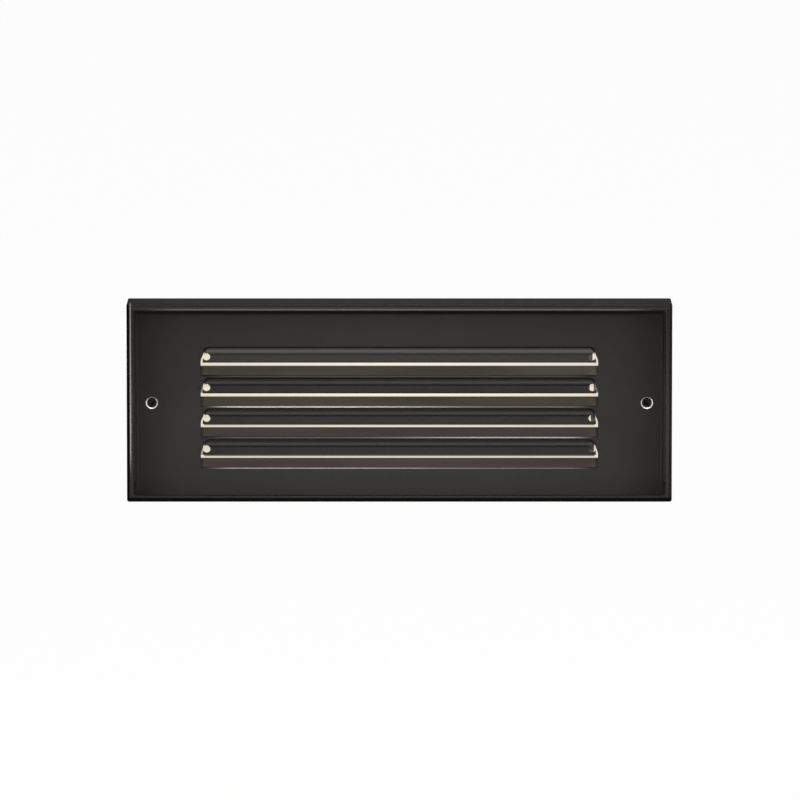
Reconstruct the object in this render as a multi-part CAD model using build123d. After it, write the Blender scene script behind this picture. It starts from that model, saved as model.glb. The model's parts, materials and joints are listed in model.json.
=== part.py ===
from build123d import *
from math import radians, tan
import os

# A louvred step light that is built into a brick wall in place of one brick.
# Millimetres. X runs along the wall, Y into the wall and Z up, so the light looks
# towards -Y. The origin is on the wall's face, at the middle of the box's opening.

# ---------------------------------------------------------------- driving sizes

# Faceplate: the visible casting
PLATE_WIDTH = 235.0
PLATE_HEIGHT = 86.9
PLATE_FRONT = -18.0          # crest of the rim, in front of the wall
FIELD_DEPTH = 0.9            # how far the field lies below the rim's crest
FIELD_THICKNESS = 3.0
FIELD_CORNER_RADIUS = 0.8
RIM_WIDTH = 3.0
RIM_OUTER_RADIUS = 1.3
RIM_INNER_RADIUS = 0.4
SKIRT_WALL = 2.8
SKIRT_DRAFT = 1.5            # degrees; the skirt narrows towards the wall
SKIRT_INNER_RADIUS = 2.0
CORNER_RADIUS = 1.0

# Foam strip between the faceplate and the wall
WALL_GASKET_THICKNESS = 1.6
WALL_GASKET_INSET = 1.1      # from the faceplate's outline
WALL_GASKET_OVERHANG = 0.4   # into the skirt's hollow
WALL_GASKET_RADIUS = 1.0

# Louvres: four hooded slots
LOUVRE_COUNT = 4
LOUVRE_PITCH = 13.45
LOUVRE_MIDDLE = -4.45        # mean height of the four sills' inner edges
SLOT_WIDTH = 171.2
SLOT_RISE = 6.65             # inner edge of the sill to the top of the slot
SILL_DROP = 3.9              # the sill falls this much from its inner to its outer edge
SILL_EDGE_RADIUS = 0.35      # rounding of the sill's outer edge
END_ROUND_WIDTH = 3.5        # quarter-oval upper corners of the slot
END_ROUND_RISE = 5.2
END_GAP = 0.9                # clear slit round each end of the hood
RELIEF_RADIUS = 1.6          # round relief at the inner end of each slit
RELIEF_INSET = 2.6           # from the slot's end to the relief's middle

# Hood over each slot, as heights below its root and depths in front of the field
HOOD_REACH = 4.0             # how far a hood stands out of the field
HOOD_HEIGHT = 6.1            # root to lip
HOOD_ROOT = 2.0              # thickness where the hood leaves the field
HOOD_ROOT_SUNK = 0.6         # how far the root goes into the field
HOOD_LIP = 1.5               # thickness of the lip
HOOD_LIP_EDGE = 0.3          # chamfer of the lip
HOOD_BACK_DEPTH = 2.1        # a point on the back's curve
HOOD_BACK_FALL = 0.62
HOOD_BROW_FALL = 2.15        # where the back turns down into the lip
HOOD_BROW_RADIUS = 0.5
HOOD_UNDER_FALL = 4.1        # where the lip's back turns into the underside
HOOD_UNDER_DEPTH = 1.6       # a point on the underside's curve
HOOD_UNDER_MIDDLE = 2.55

# Faceplate screws
SCREW_SPACING = 213.2
SCREW_RADIUS = 1.5
SCREW_HEAD_RADIUS = 2.2
SCREW_SUNK = 0.65            # the head lies this far below the field
SCREW_REACH = 8.0            # how far the shank passes the wall's face
SCREW_TIP_CHAMFER = 0.5
SCREW_HOLE_RADIUS = 1.75     # clearance hole in the faceplate
COUNTERSINK_RADIUS = 2.85
SCREW_PLAY = 0.05
HEX_SOCKET_RADIUS = 1.15
HEX_SOCKET_DEPTH = 1.1
SLEEVE_FRONT_RADIUS = 4.8    # sleeve round each screw on the faceplate's back
SLEEVE_BACK_RADIUS = 4.2
RETAINER_RADIUS = 3.2
RETAINER_THICKNESS = 1.0
RETAINER_PLAY = 0.02
RETAINER_SPLIT = 0.8

# Back box
BOX_WIDTH = 204.0
BOX_HEIGHT = 62.0
BOX_DEPTH = 75.0
BOX_WALL = 2.8
BOX_FLOOR_THICKNESS = 3.0
BOX_DRAFT = 1.0              # degrees
BOX_CORNER_RADIUS = 6.0
BOX_INNER_CORNER_RADIUS = 3.4
BOX_REAR_RADIUS = 5.0
FLANGE_WIDTH = 226.0
FLANGE_HEIGHT = 79.0
FLANGE_THICKNESS = 2.5
FLANGE_CORNER_RADIUS = 4.0
FLANGE_EDGE_RADIUS = 0.6
BOX_ROOT_RADIUS = 1.2        # between the box's walls and its flange
FIXING_SPACING_X = 215.0
FIXING_SPACING_Z = 56.0
FIXING_RADIUS = 2.2
LUG_RADIUS = 5.2
LUG_LENGTH = 16.0
LUG_DRAFT = 1.5              # degrees
LUG_CHAMFER = 1.2
LUG_FLOOR = 2.5              # metal left at the blind end of the lug's hole
LUG_HOLE_RADIUS = 2.1
INSERT_RADIUS = 2.8
INSERT_LENGTH = 9.5
PILOT_RADIUS = 1.5           # holes for the self-tapping screws in posts and pads
PILOT_DEPTH = 9.0

# Conduit hubs and plugs
HUB_BORE_RADIUS = 10.4       # half-inch conduit thread, at its major diameter
HUB_OUTER_RADIUS = 13.6
HUB_LENGTH = 14.0
HUB_INSET = 0.6              # a side hub's end, inside the box's outer face
REAR_HUB_X = 58.0
SIDE_HUB_Y = 54.5
PLUG_FACE_INSET = 1.6        # from the box's largest half width
PLUG_LENGTH = 9.4
PLUG_PLAY = 0.05
PLUG_KEY_SIZE = 9.5          # square socket
PLUG_KEY_DEPTH = 6.0
PLUG_HOLLOW_RADIUS = 6.6
PLUG_HOLLOW_DEPTH = 2.6

# Lens and its seals
LENS_WIDTH = 181.0
LENS_HEIGHT = 58.6
LENS_THICKNESS = 3.0
LENS_CORNER_RADIUS = 3.0
LENS_ARRIS = 0.4             # ground edge
SEAL_LIP = 1.0               # thickness of the channel's lips
SEAL_WEB = 1.1               # thickness of the channel's outer web
SEAL_COVER = 2.9             # how far the lips reach over the glass
SEAL_OUTER_RADIUS = 4.0
SEAL_SIGHT_RADIUS = 1.5
BOX_GASKET_THICKNESS = 1.7
BOX_GASKET_OVERHANG = 0.5    # each side of the rib
RIB_INNER_WIDTH = 200.0
RIB_INNER_HEIGHT = 64.0
RIB_INNER_RADIUS = 2.0
RIB_WALL = 2.2

# Lens clips
CLIP_X = 96.2
CLIP_Z = 17.0
CLIP_WIDTH = 9.0
CLIP_SHEET = 0.6
CLIP_BOSS_RADIUS = 3.0
CLIP_BOSS_SHORT = 0.4        # the post ends this far in front of the lens's back
CLIP_HOLE_RADIUS = 1.4
CLIP_FOOT_OUTSIDE = 3.2      # from the screw to the leaf's outer end
CLIP_BEND_START = 3.0        # from the screw to the two bends and to the nose's end
CLIP_BEND_END = 4.4
CLIP_NOSE_END = 7.8
CLIP_SCREW_RADIUS = 1.2
CLIP_SCREW_LENGTH = 3.4
CLIP_SCREW_HEAD_RADIUS = 2.3
CLIP_SCREW_HEAD_HEIGHT = 1.5
CLIP_TAP_RADIUS = 1.25

# Reflector
REFLECTOR_LENGTH = 184.0
REFLECTOR_SHEET = 0.8
REFLECTOR_FLOOR = 38.0       # front of the floor, behind the wall's face
REFLECTOR_FLOOR_HEIGHT = 24.0
REFLECTOR_MOUTH_Y = 2.0
REFLECTOR_MOUTH_HEIGHT = 53.6
REFLECTOR_BULGE_DEPTH = 0.62 # share of the depth where the side's curve is measured
REFLECTOR_BULGE_RISE = 0.70  # share of the rise that it has reached there
POST_X = 80.0
POST_RADIUS = 4.0
POST_FOOT_RADIUS = 5.0
POST_HOLE_RADIUS = 1.8
POST_SCREW_RADIUS = 1.45
POST_SCREW_LENGTH = 8.5
POST_SCREW_HEAD_RADIUS = 3.0
POST_SCREW_HEAD_HEIGHT = 2.0

# Grommet where the leads pass the reflector
GROMMET_WAIST = (13.9, 6.9)
GROMMET_COLLAR = (17.0, 10.0)
GROMMET_COLLAR_THICKNESS = 1.6
GROMMET_HOLE = (14.0, 7.0)
GROMMET_PLAY = 0.02

# Lamp: a two-pin capsule lamp that lies along X
LAMP_Y = 21.0
LAMP_RADIUS = 6.0
LAMP_START = -14.0           # where the glass begins, at the holder
LAMP_LENGTH = 36.0
LAMP_PINCH_LENGTH = 6.0
LAMP_SHOULDER = 9.0          # from the start to the full round
LAMP_PINCH_WIDTH = 10.6
LAMP_PINCH_THICKNESS = 4.0
LAMP_PINCH_SWELL = 4.2
LAMP_PINCH_RADIUS = 1.2
LAMP_GLASS = 1.0             # wall of the bulb
LAMP_TIP_GLASS = 1.2
LAMP_TIP_FLAT = 0.6          # radius of the flat left at the domed tip
PIN_SPACING = 6.35
PIN_RADIUS = 0.5
PIN_LENGTH = 7.5
FILAMENT_LEG_OFFSET = 2.6
FILAMENT_LEG_RADIUS = 0.3
FILAMENT_LEG_START = 9.5     # from the start of the glass
FILAMENT_MIDDLE = 21.0
FILAMENT_COIL_RADIUS = 0.7
FILAMENT_COIL_HALF = 3.3

# Lampholder and its bracket
HOLDER_RADIUS = 9.0
HOLDER_LENGTH = 13.0
HOLDER_BASE_SHARE = 0.6      # share of the length with the full radius
HOLDER_NOSE_STEP = 1.8
HOLDER_FLATS = 14.0
HOLDER_GAP = 1.0             # between the lamp's glass and the holder
HOLDER_BORE_RADIUS = 1.0
HOLDER_LEAD_PLAY = 0.1
HOLDER_LEAD_DEPTH = 1.0
HOLDER_SCREW_Z = 6.6
HOLDER_SCREW_RADIUS = 0.75
HOLDER_SCREW_DEPTH = 4.5
HOLDER_SCREW_HEAD_RADIUS = 1.5
HOLDER_SCREW_HEAD_HEIGHT = 1.1
HOLDER_TAP_RADIUS = 0.8
HOLDER_TAP_DEPTH = 5.0
CONTACT_RADIUS = 0.95
CONTACT_SHORT = 0.4          # the tube ends this far inside the nose
CONTACT_SOLID = 3.0          # unbored length at the lead's end
BRACKET_SHEET = 1.2
BRACKET_WIDTH = 20.0
BRACKET_FOOT = 22.0
BRACKET_TOP = 1.0            # the upright stands this far past the holder
BRACKET_CHAMFER = 3.0
BRACKET_LEAD_RADIUS = 1.6
BRACKET_SCREW_HOLE = 0.85
FOOT_SCREW_SHARE = 0.62      # of the foot's length, from the upright
FOOT_SCREW_Z = 5.5
FOOT_HOLE_RADIUS = 1.3
FOOT_SCREW_RADIUS = 1.2
FOOT_SCREW_LENGTH = 5.0
FOOT_SCREW_HEAD_RADIUS = 2.2
FOOT_SCREW_HEAD_HEIGHT = 1.4

# Terminal block
BLOCK_X = -20.0
BLOCK_LENGTH = 26.0
BLOCK_HEIGHT = 20.0
BLOCK_BACK = 68.0
BLOCK_THICKNESS = 14.0
BLOCK_CORNER_RADIUS = 1.5
BLOCK_PAD_RADIUS = 5.0
BLOCK_GROOVE = 1.0
BLOCK_GROOVE_DEPTH = 2.5
POLE_SPACING = 9.0
TUNNEL_RADIUS = 2.6
WELL_SPACING = 15.0
WELL_RADIUS = 2.0
CLAMP_RADIUS = 2.5
CLAMP_BORE_RADIUS = 1.4
CLAMP_HALF = 11.0
CLAMP_TAP_RADIUS = 1.3
CLAMP_SCREW_RADIUS = 1.25
CLAMP_SCREW_TOP = 5.5        # in front of the leads' middle
CLAMP_SCREW_BOTTOM = 1.3
CLAMP_SLOT = 0.5
CLAMP_SLOT_DEPTH = 0.7
BLOCK_HOLE_RADIUS = 1.6
BLOCK_SCREW_RADIUS = 1.4
BLOCK_SCREW_LENGTH = 14.5
BLOCK_SCREW_HEAD_RADIUS = 1.55
BLOCK_SCREW_HEAD_HEIGHT = 1.4

# Leads and earth
LEAD_RADIUS = 1.1
LEAD_TURN_X = -58.0
LEAD_BEND_SHARE = 0.45       # bend radius as a share of the shorter run beside it
GROUND_X = 22.0
GROUND_Z = -16.0
GROUND_PAD_RADIUS = 5.0
GROUND_PAD_HEIGHT = 3.0
GROUND_HOLE_RADIUS = 1.8
GROUND_SCREW_RADIUS = 1.7
GROUND_SCREW_LENGTH = 4.6
GROUND_HEAD_RADIUS = 4.0
GROUND_HEAD_HEIGHT = 2.4
GROUND_WASHER_RADIUS = 4.6
GROUND_WASHER_THICKNESS = 1.0

# Shares of a pan screw's head
PAN_CROWN = 0.45             # rounding of the head, as a share of its height
PAN_SLOT_LENGTH = 2.2        # driver slot, as shares of the head's radius
PAN_SLOT_WIDTH = 0.3
PAN_SLOT_DEPTH = 0.55        # as a share of the head's height

PAST = 1.0                   # how far a cutting shape passes the face that it cuts
TOUCH = 0.001                # two lengths closer than this are the same

# ---------------------------------------------------------------- worked out

FIELD = PLATE_FRONT + FIELD_DEPTH
FIELD_BACK = FIELD + FIELD_THICKNESS
SKIRT_BACK = -WALL_GASKET_THICKNESS
BOX_GASKET_FRONT = -FLANGE_THICKNESS - BOX_GASKET_THICKNESS
LENS_FRONT = FIELD_BACK + SEAL_LIP
LENS_BACK = LENS_FRONT + LENS_THICKNESS
SEAL_BACK = LENS_BACK + SEAL_LIP
SCREW_X = SCREW_SPACING / 2
SLEEVE_BACK = BOX_GASKET_FRONT - 0.1
CLIP_SEAT = LENS_BACK - CLIP_BOSS_SHORT
BOX_FLOOR = BOX_DEPTH - BOX_FLOOR_THICKNESS
REFLECTOR_BACK = REFLECTOR_FLOOR + REFLECTOR_SHEET
LEAD_Y = BLOCK_BACK - BLOCK_THICKNESS / 2
BLOCK_FRONT = BLOCK_BACK - BLOCK_THICKNESS
HOLDER_START = LAMP_START - HOLDER_GAP - HOLDER_LENGTH
HOLDER_END = HOLDER_START + HOLDER_LENGTH
BRACKET_LEFT = HOLDER_START - BRACKET_SHEET
FOOT_SCREW_X = BRACKET_LEFT + BRACKET_FOOT * FOOT_SCREW_SHARE
LAMP_END = LAMP_START + LAMP_LENGTH
SIDES = (-1, 1)
CORNERS = [(sx, sz) for sx in SIDES for sz in SIDES]


# ---------------------------------------------------------------- helpers

def facing(y):
    """The plane at depth y that looks out of the wall, with X right and Z up."""
    return Plane.XZ.offset(-y)


def slab(outline, front, back):
    """An outline in X and Z, made solid from the depth front to the depth back."""
    return extrude(facing(back) * outline, amount=back - front)


def rod(x, z, radius, front, back):
    """A round bar along Y."""
    return slab(Pos(x, z) * Circle(radius), front, back)


def cone(x, z, front_radius, back_radius, front, back):
    """A tapered round bar along Y."""
    return loft([facing(front) * Pos(x, z) * Circle(front_radius),
                 facing(back) * Pos(x, z) * Circle(back_radius)])


def cross_rod(y, z, radius, start, end):
    """A round bar along X."""
    return extrude(Plane.YZ.offset(start) * Pos(y, z) * Circle(radius), amount=end - start)


def swept_section(points, width):
    """A closed section in Y and Z, made solid across X and centred on it."""
    return extrude(Plane.YZ * make_face(Polyline(points, close=True)), amount=width / 2, both=True)


# ---------------------------------------------------------------- louvres

def sill_height(row):
    """Height of the inner edge of a row's sill, counted from the top row."""
    return LOUVRE_MIDDLE + ((LOUVRE_COUNT - 1) / 2 - row) * LOUVRE_PITCH


def end_rounded(half_width, bottom, top, round_width, round_rise):
    """A front outline with square lower corners and quarter-oval upper corners."""
    shoulder = top - round_rise
    inner = half_width - round_width
    arc_right = EllipticalCenterArc((inner, shoulder), round_width, round_rise, 0, arc_size=90)
    arc_left = EllipticalCenterArc((-inner, shoulder), round_width, round_rise, 90, arc_size=90)
    sides = Polyline((-half_width, shoulder), (-half_width, bottom),
                     (half_width, bottom), (half_width, shoulder))
    return make_face(Curve() + [sides, arc_right, Line((inner, top), (-inner, top)), arc_left])


def louvre_slot(row):
    """The opening of one row: a sloping sill below, quarter-oval corners above."""
    sill = sill_height(row)
    top = sill + SLOT_RISE
    bottom = sill - SILL_DROP
    slope = SILL_DROP / FIELD_THICKNESS
    section = swept_section([(FIELD_BACK + PAST, sill + slope * PAST),
                             (FIELD - PAST, bottom - slope * PAST),
                             (FIELD - PAST, top), (FIELD_BACK + PAST, top)], SLOT_WIDTH)
    outline = end_rounded(SLOT_WIDTH / 2, bottom - 2 * PAST, top, END_ROUND_WIDTH, END_ROUND_RISE)
    return section & slab(outline, FIELD - PAST, FIELD_BACK + PAST)


def hood_section(root):
    """Section of a hood in Y and Z: a curved back, an upright lip and a hollow underside."""
    front = FIELD - HOOD_REACH
    lip = root - HOOD_HEIGHT
    brow = root - HOOD_BROW_FALL
    under = root - HOOD_UNDER_FALL
    back_end = (front + HOOD_BROW_RADIUS, brow)
    lip_start = (front, brow - HOOD_BROW_RADIUS)
    back = ThreePointArc((FIELD, root), (FIELD - HOOD_BACK_DEPTH, root - HOOD_BACK_FALL), back_end)
    turn = RadiusArc(back_end, lip_start, -HOOD_BROW_RADIUS * 1.2)
    edge = Polyline(lip_start, (front, lip + HOOD_LIP_EDGE), (front + HOOD_LIP_EDGE, lip),
                    (front + HOOD_LIP, lip), (front + HOOD_LIP, under))
    underside = ThreePointArc((front + HOOD_LIP, under), (FIELD - HOOD_UNDER_DEPTH, root - HOOD_UNDER_MIDDLE),
                              (FIELD, root - HOOD_ROOT))
    base = Polyline((FIELD, root - HOOD_ROOT), (FIELD + HOOD_ROOT_SUNK, root - HOOD_ROOT),
                    (FIELD + HOOD_ROOT_SUNK, root), (FIELD, root))
    return make_face(Curve() + [back, turn, edge, underside, base])


def louvre_hood(row):
    """The visor over one slot, held along its root and free at both ends."""
    root = sill_height(row) + SLOT_RISE + HOOD_ROOT
    half = SLOT_WIDTH / 2 - END_GAP
    body = extrude(Plane.YZ * hood_section(root), amount=half, both=True)
    outline = end_rounded(half, root - HOOD_HEIGHT - PAST, root + 0.01, END_ROUND_WIDTH, HOOD_HEIGHT)
    return body & slab(outline, FIELD - HOOD_REACH - PAST, FIELD + PAST)


def slit_relief(row, side):
    """The round end of the slit beside a hood, drilled through field and hood."""
    x = side * (SLOT_WIDTH / 2 - RELIEF_INSET)
    z = sill_height(row) + SLOT_RISE - RELIEF_RADIUS
    return rod(x, z, RELIEF_RADIUS, FIELD - HOOD_REACH - PAST, FIELD_BACK + PAST)


# ---------------------------------------------------------------- faceplate

def plate_body():
    """The outside of the casting: drafted skirt, rounded rim and recessed field."""
    depth = SKIRT_BACK - PLATE_FRONT
    outline = RectangleRounded(PLATE_WIDTH, PLATE_HEIGHT, CORNER_RADIUS)
    body = extrude(facing(PLATE_FRONT) * outline, amount=-depth, taper=SKIRT_DRAFT)
    body = fillet(body.faces().sort_by(Axis.Y)[0].edges(), RIM_OUTER_RADIUS)
    field = RectangleRounded(PLATE_WIDTH - 2 * RIM_WIDTH, PLATE_HEIGHT - 2 * RIM_WIDTH, FIELD_CORNER_RADIUS)
    recess = slab(field, PLATE_FRONT - PAST, FIELD)
    body = body - recess
    crest = body.faces().filter_by(Plane.XZ).sort_by(Axis.Y)[0]
    return fillet(crest.inner_wires().edges(), RIM_INNER_RADIUS)


def plate_hollow():
    """The room behind the field, inside the skirt."""
    narrowing = 2 * tan(radians(SKIRT_DRAFT)) * (SKIRT_BACK - PLATE_FRONT)
    wall = 2 * SKIRT_WALL + narrowing
    outline = RectangleRounded(PLATE_WIDTH - wall, PLATE_HEIGHT - wall, SKIRT_INNER_RADIUS)
    return slab(outline, FIELD_BACK, SKIRT_BACK + PAST)


def seal_rib():
    """The frame on the back of the field that presses the box gasket."""
    outer = RectangleRounded(RIB_INNER_WIDTH + 2 * RIB_WALL, RIB_INNER_HEIGHT + 2 * RIB_WALL,
                             RIB_INNER_RADIUS + RIB_WALL)
    inner = RectangleRounded(RIB_INNER_WIDTH, RIB_INNER_HEIGHT, RIB_INNER_RADIUS)
    return slab(outer - inner, FIELD_BACK - PAST / 2, BOX_GASKET_FRONT)


def plate_bosses():
    """Sleeves round the two faceplate screws, and the four posts of the lens clips."""
    sleeves = [cone(side * SCREW_X, 0, SLEEVE_FRONT_RADIUS, SLEEVE_BACK_RADIUS, FIELD_BACK - PAST / 2,
                    SLEEVE_BACK) for side in SIDES]
    posts = [rod(sx * CLIP_X, sz * CLIP_Z, CLIP_BOSS_RADIUS, FIELD_BACK - PAST / 2, CLIP_SEAT)
             for sx, sz in CORNERS]
    return sleeves + posts


def screw_passage(side):
    """Hole for one faceplate screw, with a countersink of 90 degrees."""
    x = side * SCREW_X
    hole = rod(x, 0, SCREW_HOLE_RADIUS, FIELD - PAST, 0)
    countersink = cone(x, 0, COUNTERSINK_RADIUS + PAST, SCREW_RADIUS, FIELD - PAST,
                       FIELD + COUNTERSINK_RADIUS - SCREW_RADIUS)
    return hole + countersink


def soften_sills(body):
    """Round the long outer edge of each sill."""
    heights = [sill_height(row) - SILL_DROP for row in range(LOUVRE_COUNT)]
    edges = [edge for edge in body.edges().filter_by(Axis.X)
             if abs(edge.center().Y - FIELD) < TOUCH
             and min(abs(edge.center().Z - height) for height in heights) < TOUCH]
    return fillet(edges, SILL_EDGE_RADIUS)


def make_faceplate():
    body = plate_body() - plate_hollow()
    body = body + [seal_rib()] + plate_bosses()
    body = body - [louvre_slot(row) for row in range(LOUVRE_COUNT)]
    body = soften_sills(body)
    body = body + [louvre_hood(row) for row in range(LOUVRE_COUNT)]
    body = body - [slit_relief(row, side) for row in range(LOUVRE_COUNT) for side in SIDES]
    body = body - [screw_passage(side) for side in SIDES]
    taps = [rod(sx * CLIP_X, sz * CLIP_Z, CLIP_TAP_RADIUS, CLIP_SEAT - CLIP_SCREW_LENGTH, LENS_BACK)
            for sx, sz in CORNERS]
    return body - taps


def make_wall_gasket():
    """A foam strip on the skirt's back edge, a little inside its outline."""
    outer_inset = 2 * WALL_GASKET_INSET
    inner_inset = 2 * (SKIRT_WALL + WALL_GASKET_OVERHANG)
    outer = RectangleRounded(PLATE_WIDTH - outer_inset, PLATE_HEIGHT - outer_inset, WALL_GASKET_RADIUS)
    inner = RectangleRounded(PLATE_WIDTH - inner_inset, PLATE_HEIGHT - inner_inset, WALL_GASKET_RADIUS)
    return slab(outer - inner, SKIRT_BACK, 0)


def make_faceplate_screw(side):
    """Countersunk screw with a hexagonal socket."""
    x = side * SCREW_X
    top = FIELD + SCREW_SUNK
    neck = top + SCREW_HEAD_RADIUS - SCREW_RADIUS
    head = cone(x, 0, SCREW_HEAD_RADIUS, SCREW_RADIUS, top, neck)
    shank = rod(x, 0, SCREW_RADIUS, neck, SCREW_REACH)
    screw = chamfer((head + shank).edges().sort_by(Axis.Y)[-1], SCREW_TIP_CHAMFER)
    socket = slab(Pos(x, 0) * RegularPolygon(HEX_SOCKET_RADIUS, 6), top - PAST, top + HEX_SOCKET_DEPTH)
    return screw - socket


def make_screw_retainer(side):
    """A split nylon washer on the shank, behind the faceplate's sleeve."""
    split = Pos(RETAINER_RADIUS / 2 + PAST / 2, 0) * Rectangle(RETAINER_RADIUS, RETAINER_SPLIT)
    washer = Circle(RETAINER_RADIUS) - Circle(SCREW_RADIUS + RETAINER_PLAY) - split
    front = BOX_GASKET_FRONT + 0.1
    return slab(Pos(side * SCREW_X, 0) * washer, front, front + RETAINER_THICKNESS)


# ---------------------------------------------------------------- lens

def make_lens():
    pane = slab(RectangleRounded(LENS_WIDTH, LENS_HEIGHT, LENS_CORNER_RADIUS), LENS_FRONT, LENS_BACK)
    rims = pane.faces().filter_by(Plane.XZ).edges()
    return chamfer(rims, LENS_ARRIS)


def make_lens_gasket():
    """A silicone channel whose two lips hold the edge of the pane."""
    outer = RectangleRounded(LENS_WIDTH + 2 * SEAL_WEB, LENS_HEIGHT + 2 * SEAL_WEB, SEAL_OUTER_RADIUS)
    sight = RectangleRounded(LENS_WIDTH - 2 * SEAL_COVER, LENS_HEIGHT - 2 * SEAL_COVER, SEAL_SIGHT_RADIUS)
    groove = RectangleRounded(LENS_WIDTH, LENS_HEIGHT, LENS_CORNER_RADIUS)
    ring = slab(outer - sight, FIELD_BACK, SEAL_BACK)
    return ring - slab(groove, LENS_FRONT, LENS_BACK)


def clip_section(side):
    """Z-shaped leaf in X and Y: a foot on the post and a nose on the gasket."""
    lean = CLIP_SHEET / 2    # the bends shift along X so that the leaf keeps its thickness
    points = [(CLIP_X + CLIP_FOOT_OUTSIDE, CLIP_SEAT), (CLIP_X - CLIP_BEND_START, CLIP_SEAT),
              (CLIP_X - CLIP_BEND_END, SEAL_BACK), (CLIP_X - CLIP_NOSE_END, SEAL_BACK),
              (CLIP_X - CLIP_NOSE_END, SEAL_BACK + CLIP_SHEET),
              (CLIP_X - CLIP_BEND_END - lean, SEAL_BACK + CLIP_SHEET),
              (CLIP_X - CLIP_BEND_START - lean, CLIP_SEAT + CLIP_SHEET),
              (CLIP_X + CLIP_FOOT_OUTSIDE, CLIP_SEAT + CLIP_SHEET)]
    return make_face(Polyline([(side * x, y) for x, y in points], close=True))


def make_lens_clips():
    clips = []
    for sx, sz in CORNERS:
        leaf = extrude(Plane.XY.offset(sz * CLIP_Z) * clip_section(sx), amount=CLIP_WIDTH / 2, both=True)
        clips.append(leaf - rod(sx * CLIP_X, sz * CLIP_Z, CLIP_HOLE_RADIUS, FIELD_BACK, 0))
    return Compound(children=[leaf.solid() for leaf in clips])


def pan_screw(x, z, radius, seat, length, head_radius, head_height):
    """Round-headed screw along Y whose head lies in front of the depth seat."""
    top = seat - head_height
    shank = rod(x, z, radius, seat, seat + length)
    head = rod(x, z, head_radius, top, seat)
    crown = head.edges().filter_by(GeomType.CIRCLE).sort_by(Axis.Y)[0]
    head = fillet(crown, head_height * PAN_CROWN)
    slot = slab(Pos(x, z) * Rectangle(head_radius * PAN_SLOT_LENGTH, head_radius * PAN_SLOT_WIDTH),
                top - PAST, top + head_height * PAN_SLOT_DEPTH)
    return head + shank - slot


def joined(pieces):
    """Separate solids of one node."""
    return Compound(children=[piece.solid() for piece in pieces])


def reversed_pan_screw(x, z, radius, seat, length, head_radius, head_height):
    """The same screw turned round, with its head behind the depth seat."""
    return mirror(pan_screw(x, z, radius, seat, length, head_radius, head_height),
                  about=facing(seat))


def make_lens_clip_screws():
    return joined([reversed_pan_screw(sx * CLIP_X, sz * CLIP_Z, CLIP_SCREW_RADIUS, CLIP_SEAT + CLIP_SHEET,
                                      CLIP_SCREW_LENGTH, CLIP_SCREW_HEAD_RADIUS, CLIP_SCREW_HEAD_HEIGHT)
                   for sx, sz in CORNERS])


def make_box_gasket():
    outward = 2 * (RIB_WALL + BOX_GASKET_OVERHANG)
    inward = 2 * BOX_GASKET_OVERHANG
    outer = RectangleRounded(RIB_INNER_WIDTH + outward, RIB_INNER_HEIGHT + outward, RIB_INNER_RADIUS + RIB_WALL)
    inner = RectangleRounded(RIB_INNER_WIDTH - inward, RIB_INNER_HEIGHT - inward, RIB_INNER_RADIUS)
    return slab(outer - inner, BOX_GASKET_FRONT, -FLANGE_THICKNESS)


# ---------------------------------------------------------------- back box

def box_shell():
    """The drafted box with its rounded rear edges, hollow and open at the wall's face."""
    outline = RectangleRounded(BOX_WIDTH, BOX_HEIGHT, BOX_CORNER_RADIUS)
    body = extrude(facing(-FLANGE_THICKNESS) * outline, amount=-(BOX_DEPTH + FLANGE_THICKNESS),
                   taper=BOX_DRAFT)
    body = fillet(body.faces().sort_by(Axis.Y)[-1].edges(), BOX_REAR_RADIUS)
    flange = slab(RectangleRounded(FLANGE_WIDTH, FLANGE_HEIGHT, FLANGE_CORNER_RADIUS), -FLANGE_THICKNESS, 0)
    flange = fillet(flange.faces().sort_by(Axis.Y)[-1].edges(), FLANGE_EDGE_RADIUS)
    shell = body + flange
    back = shell.faces().filter_by(Plane.XZ).sort_by(Axis.Y)[-2]
    return fillet(back.inner_wires().edges(), BOX_ROOT_RADIUS)


def box_hollow():
    """The box's inside, drafted as the outside is."""
    outline = RectangleRounded(BOX_WIDTH - 2 * BOX_WALL, BOX_HEIGHT - 2 * BOX_WALL, BOX_INNER_CORNER_RADIUS)
    front = -FLANGE_THICKNESS - PAST
    return extrude(facing(front) * outline, amount=front - BOX_FLOOR, taper=BOX_DRAFT)


def screw_lug(side):
    """A half-round lug outside the end wall, with a sloping end so that it leaves its mould."""
    web = SCREW_X - BOX_WIDTH / 2 + PAST
    outline = Pos(side * SCREW_X, 0) * Circle(LUG_RADIUS)
    outline += Pos(side * (SCREW_X - web / 2), 0) * Rectangle(web, 2 * LUG_RADIUS)
    lug = extrude(facing(-FLANGE_THICKNESS) * outline, amount=-(LUG_LENGTH + FLANGE_THICKNESS),
                  taper=LUG_DRAFT)
    return chamfer(lug.faces().sort_by(Axis.Y)[-1].edges(), LUG_CHAMFER)


def box_additions():
    """Screw lugs outside, conduit hubs, posts and pads inside."""
    pieces = [screw_lug(side) for side in SIDES]
    pieces += [rod(REAR_HUB_X, 0, HUB_OUTER_RADIUS, BOX_DEPTH - HUB_LENGTH, BOX_DEPTH)]
    pieces += [cone(side * POST_X, 0, POST_RADIUS, POST_FOOT_RADIUS, REFLECTOR_BACK, BOX_FLOOR + PAST)
               for side in SIDES]
    pieces += [rod(BLOCK_X, 0, BLOCK_PAD_RADIUS, BLOCK_BACK, BOX_FLOOR + PAST)]
    pieces += [rod(GROUND_X, GROUND_Z, GROUND_PAD_RADIUS, BOX_FLOOR - GROUND_PAD_HEIGHT, BOX_FLOOR + PAST)]
    return pieces


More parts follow.
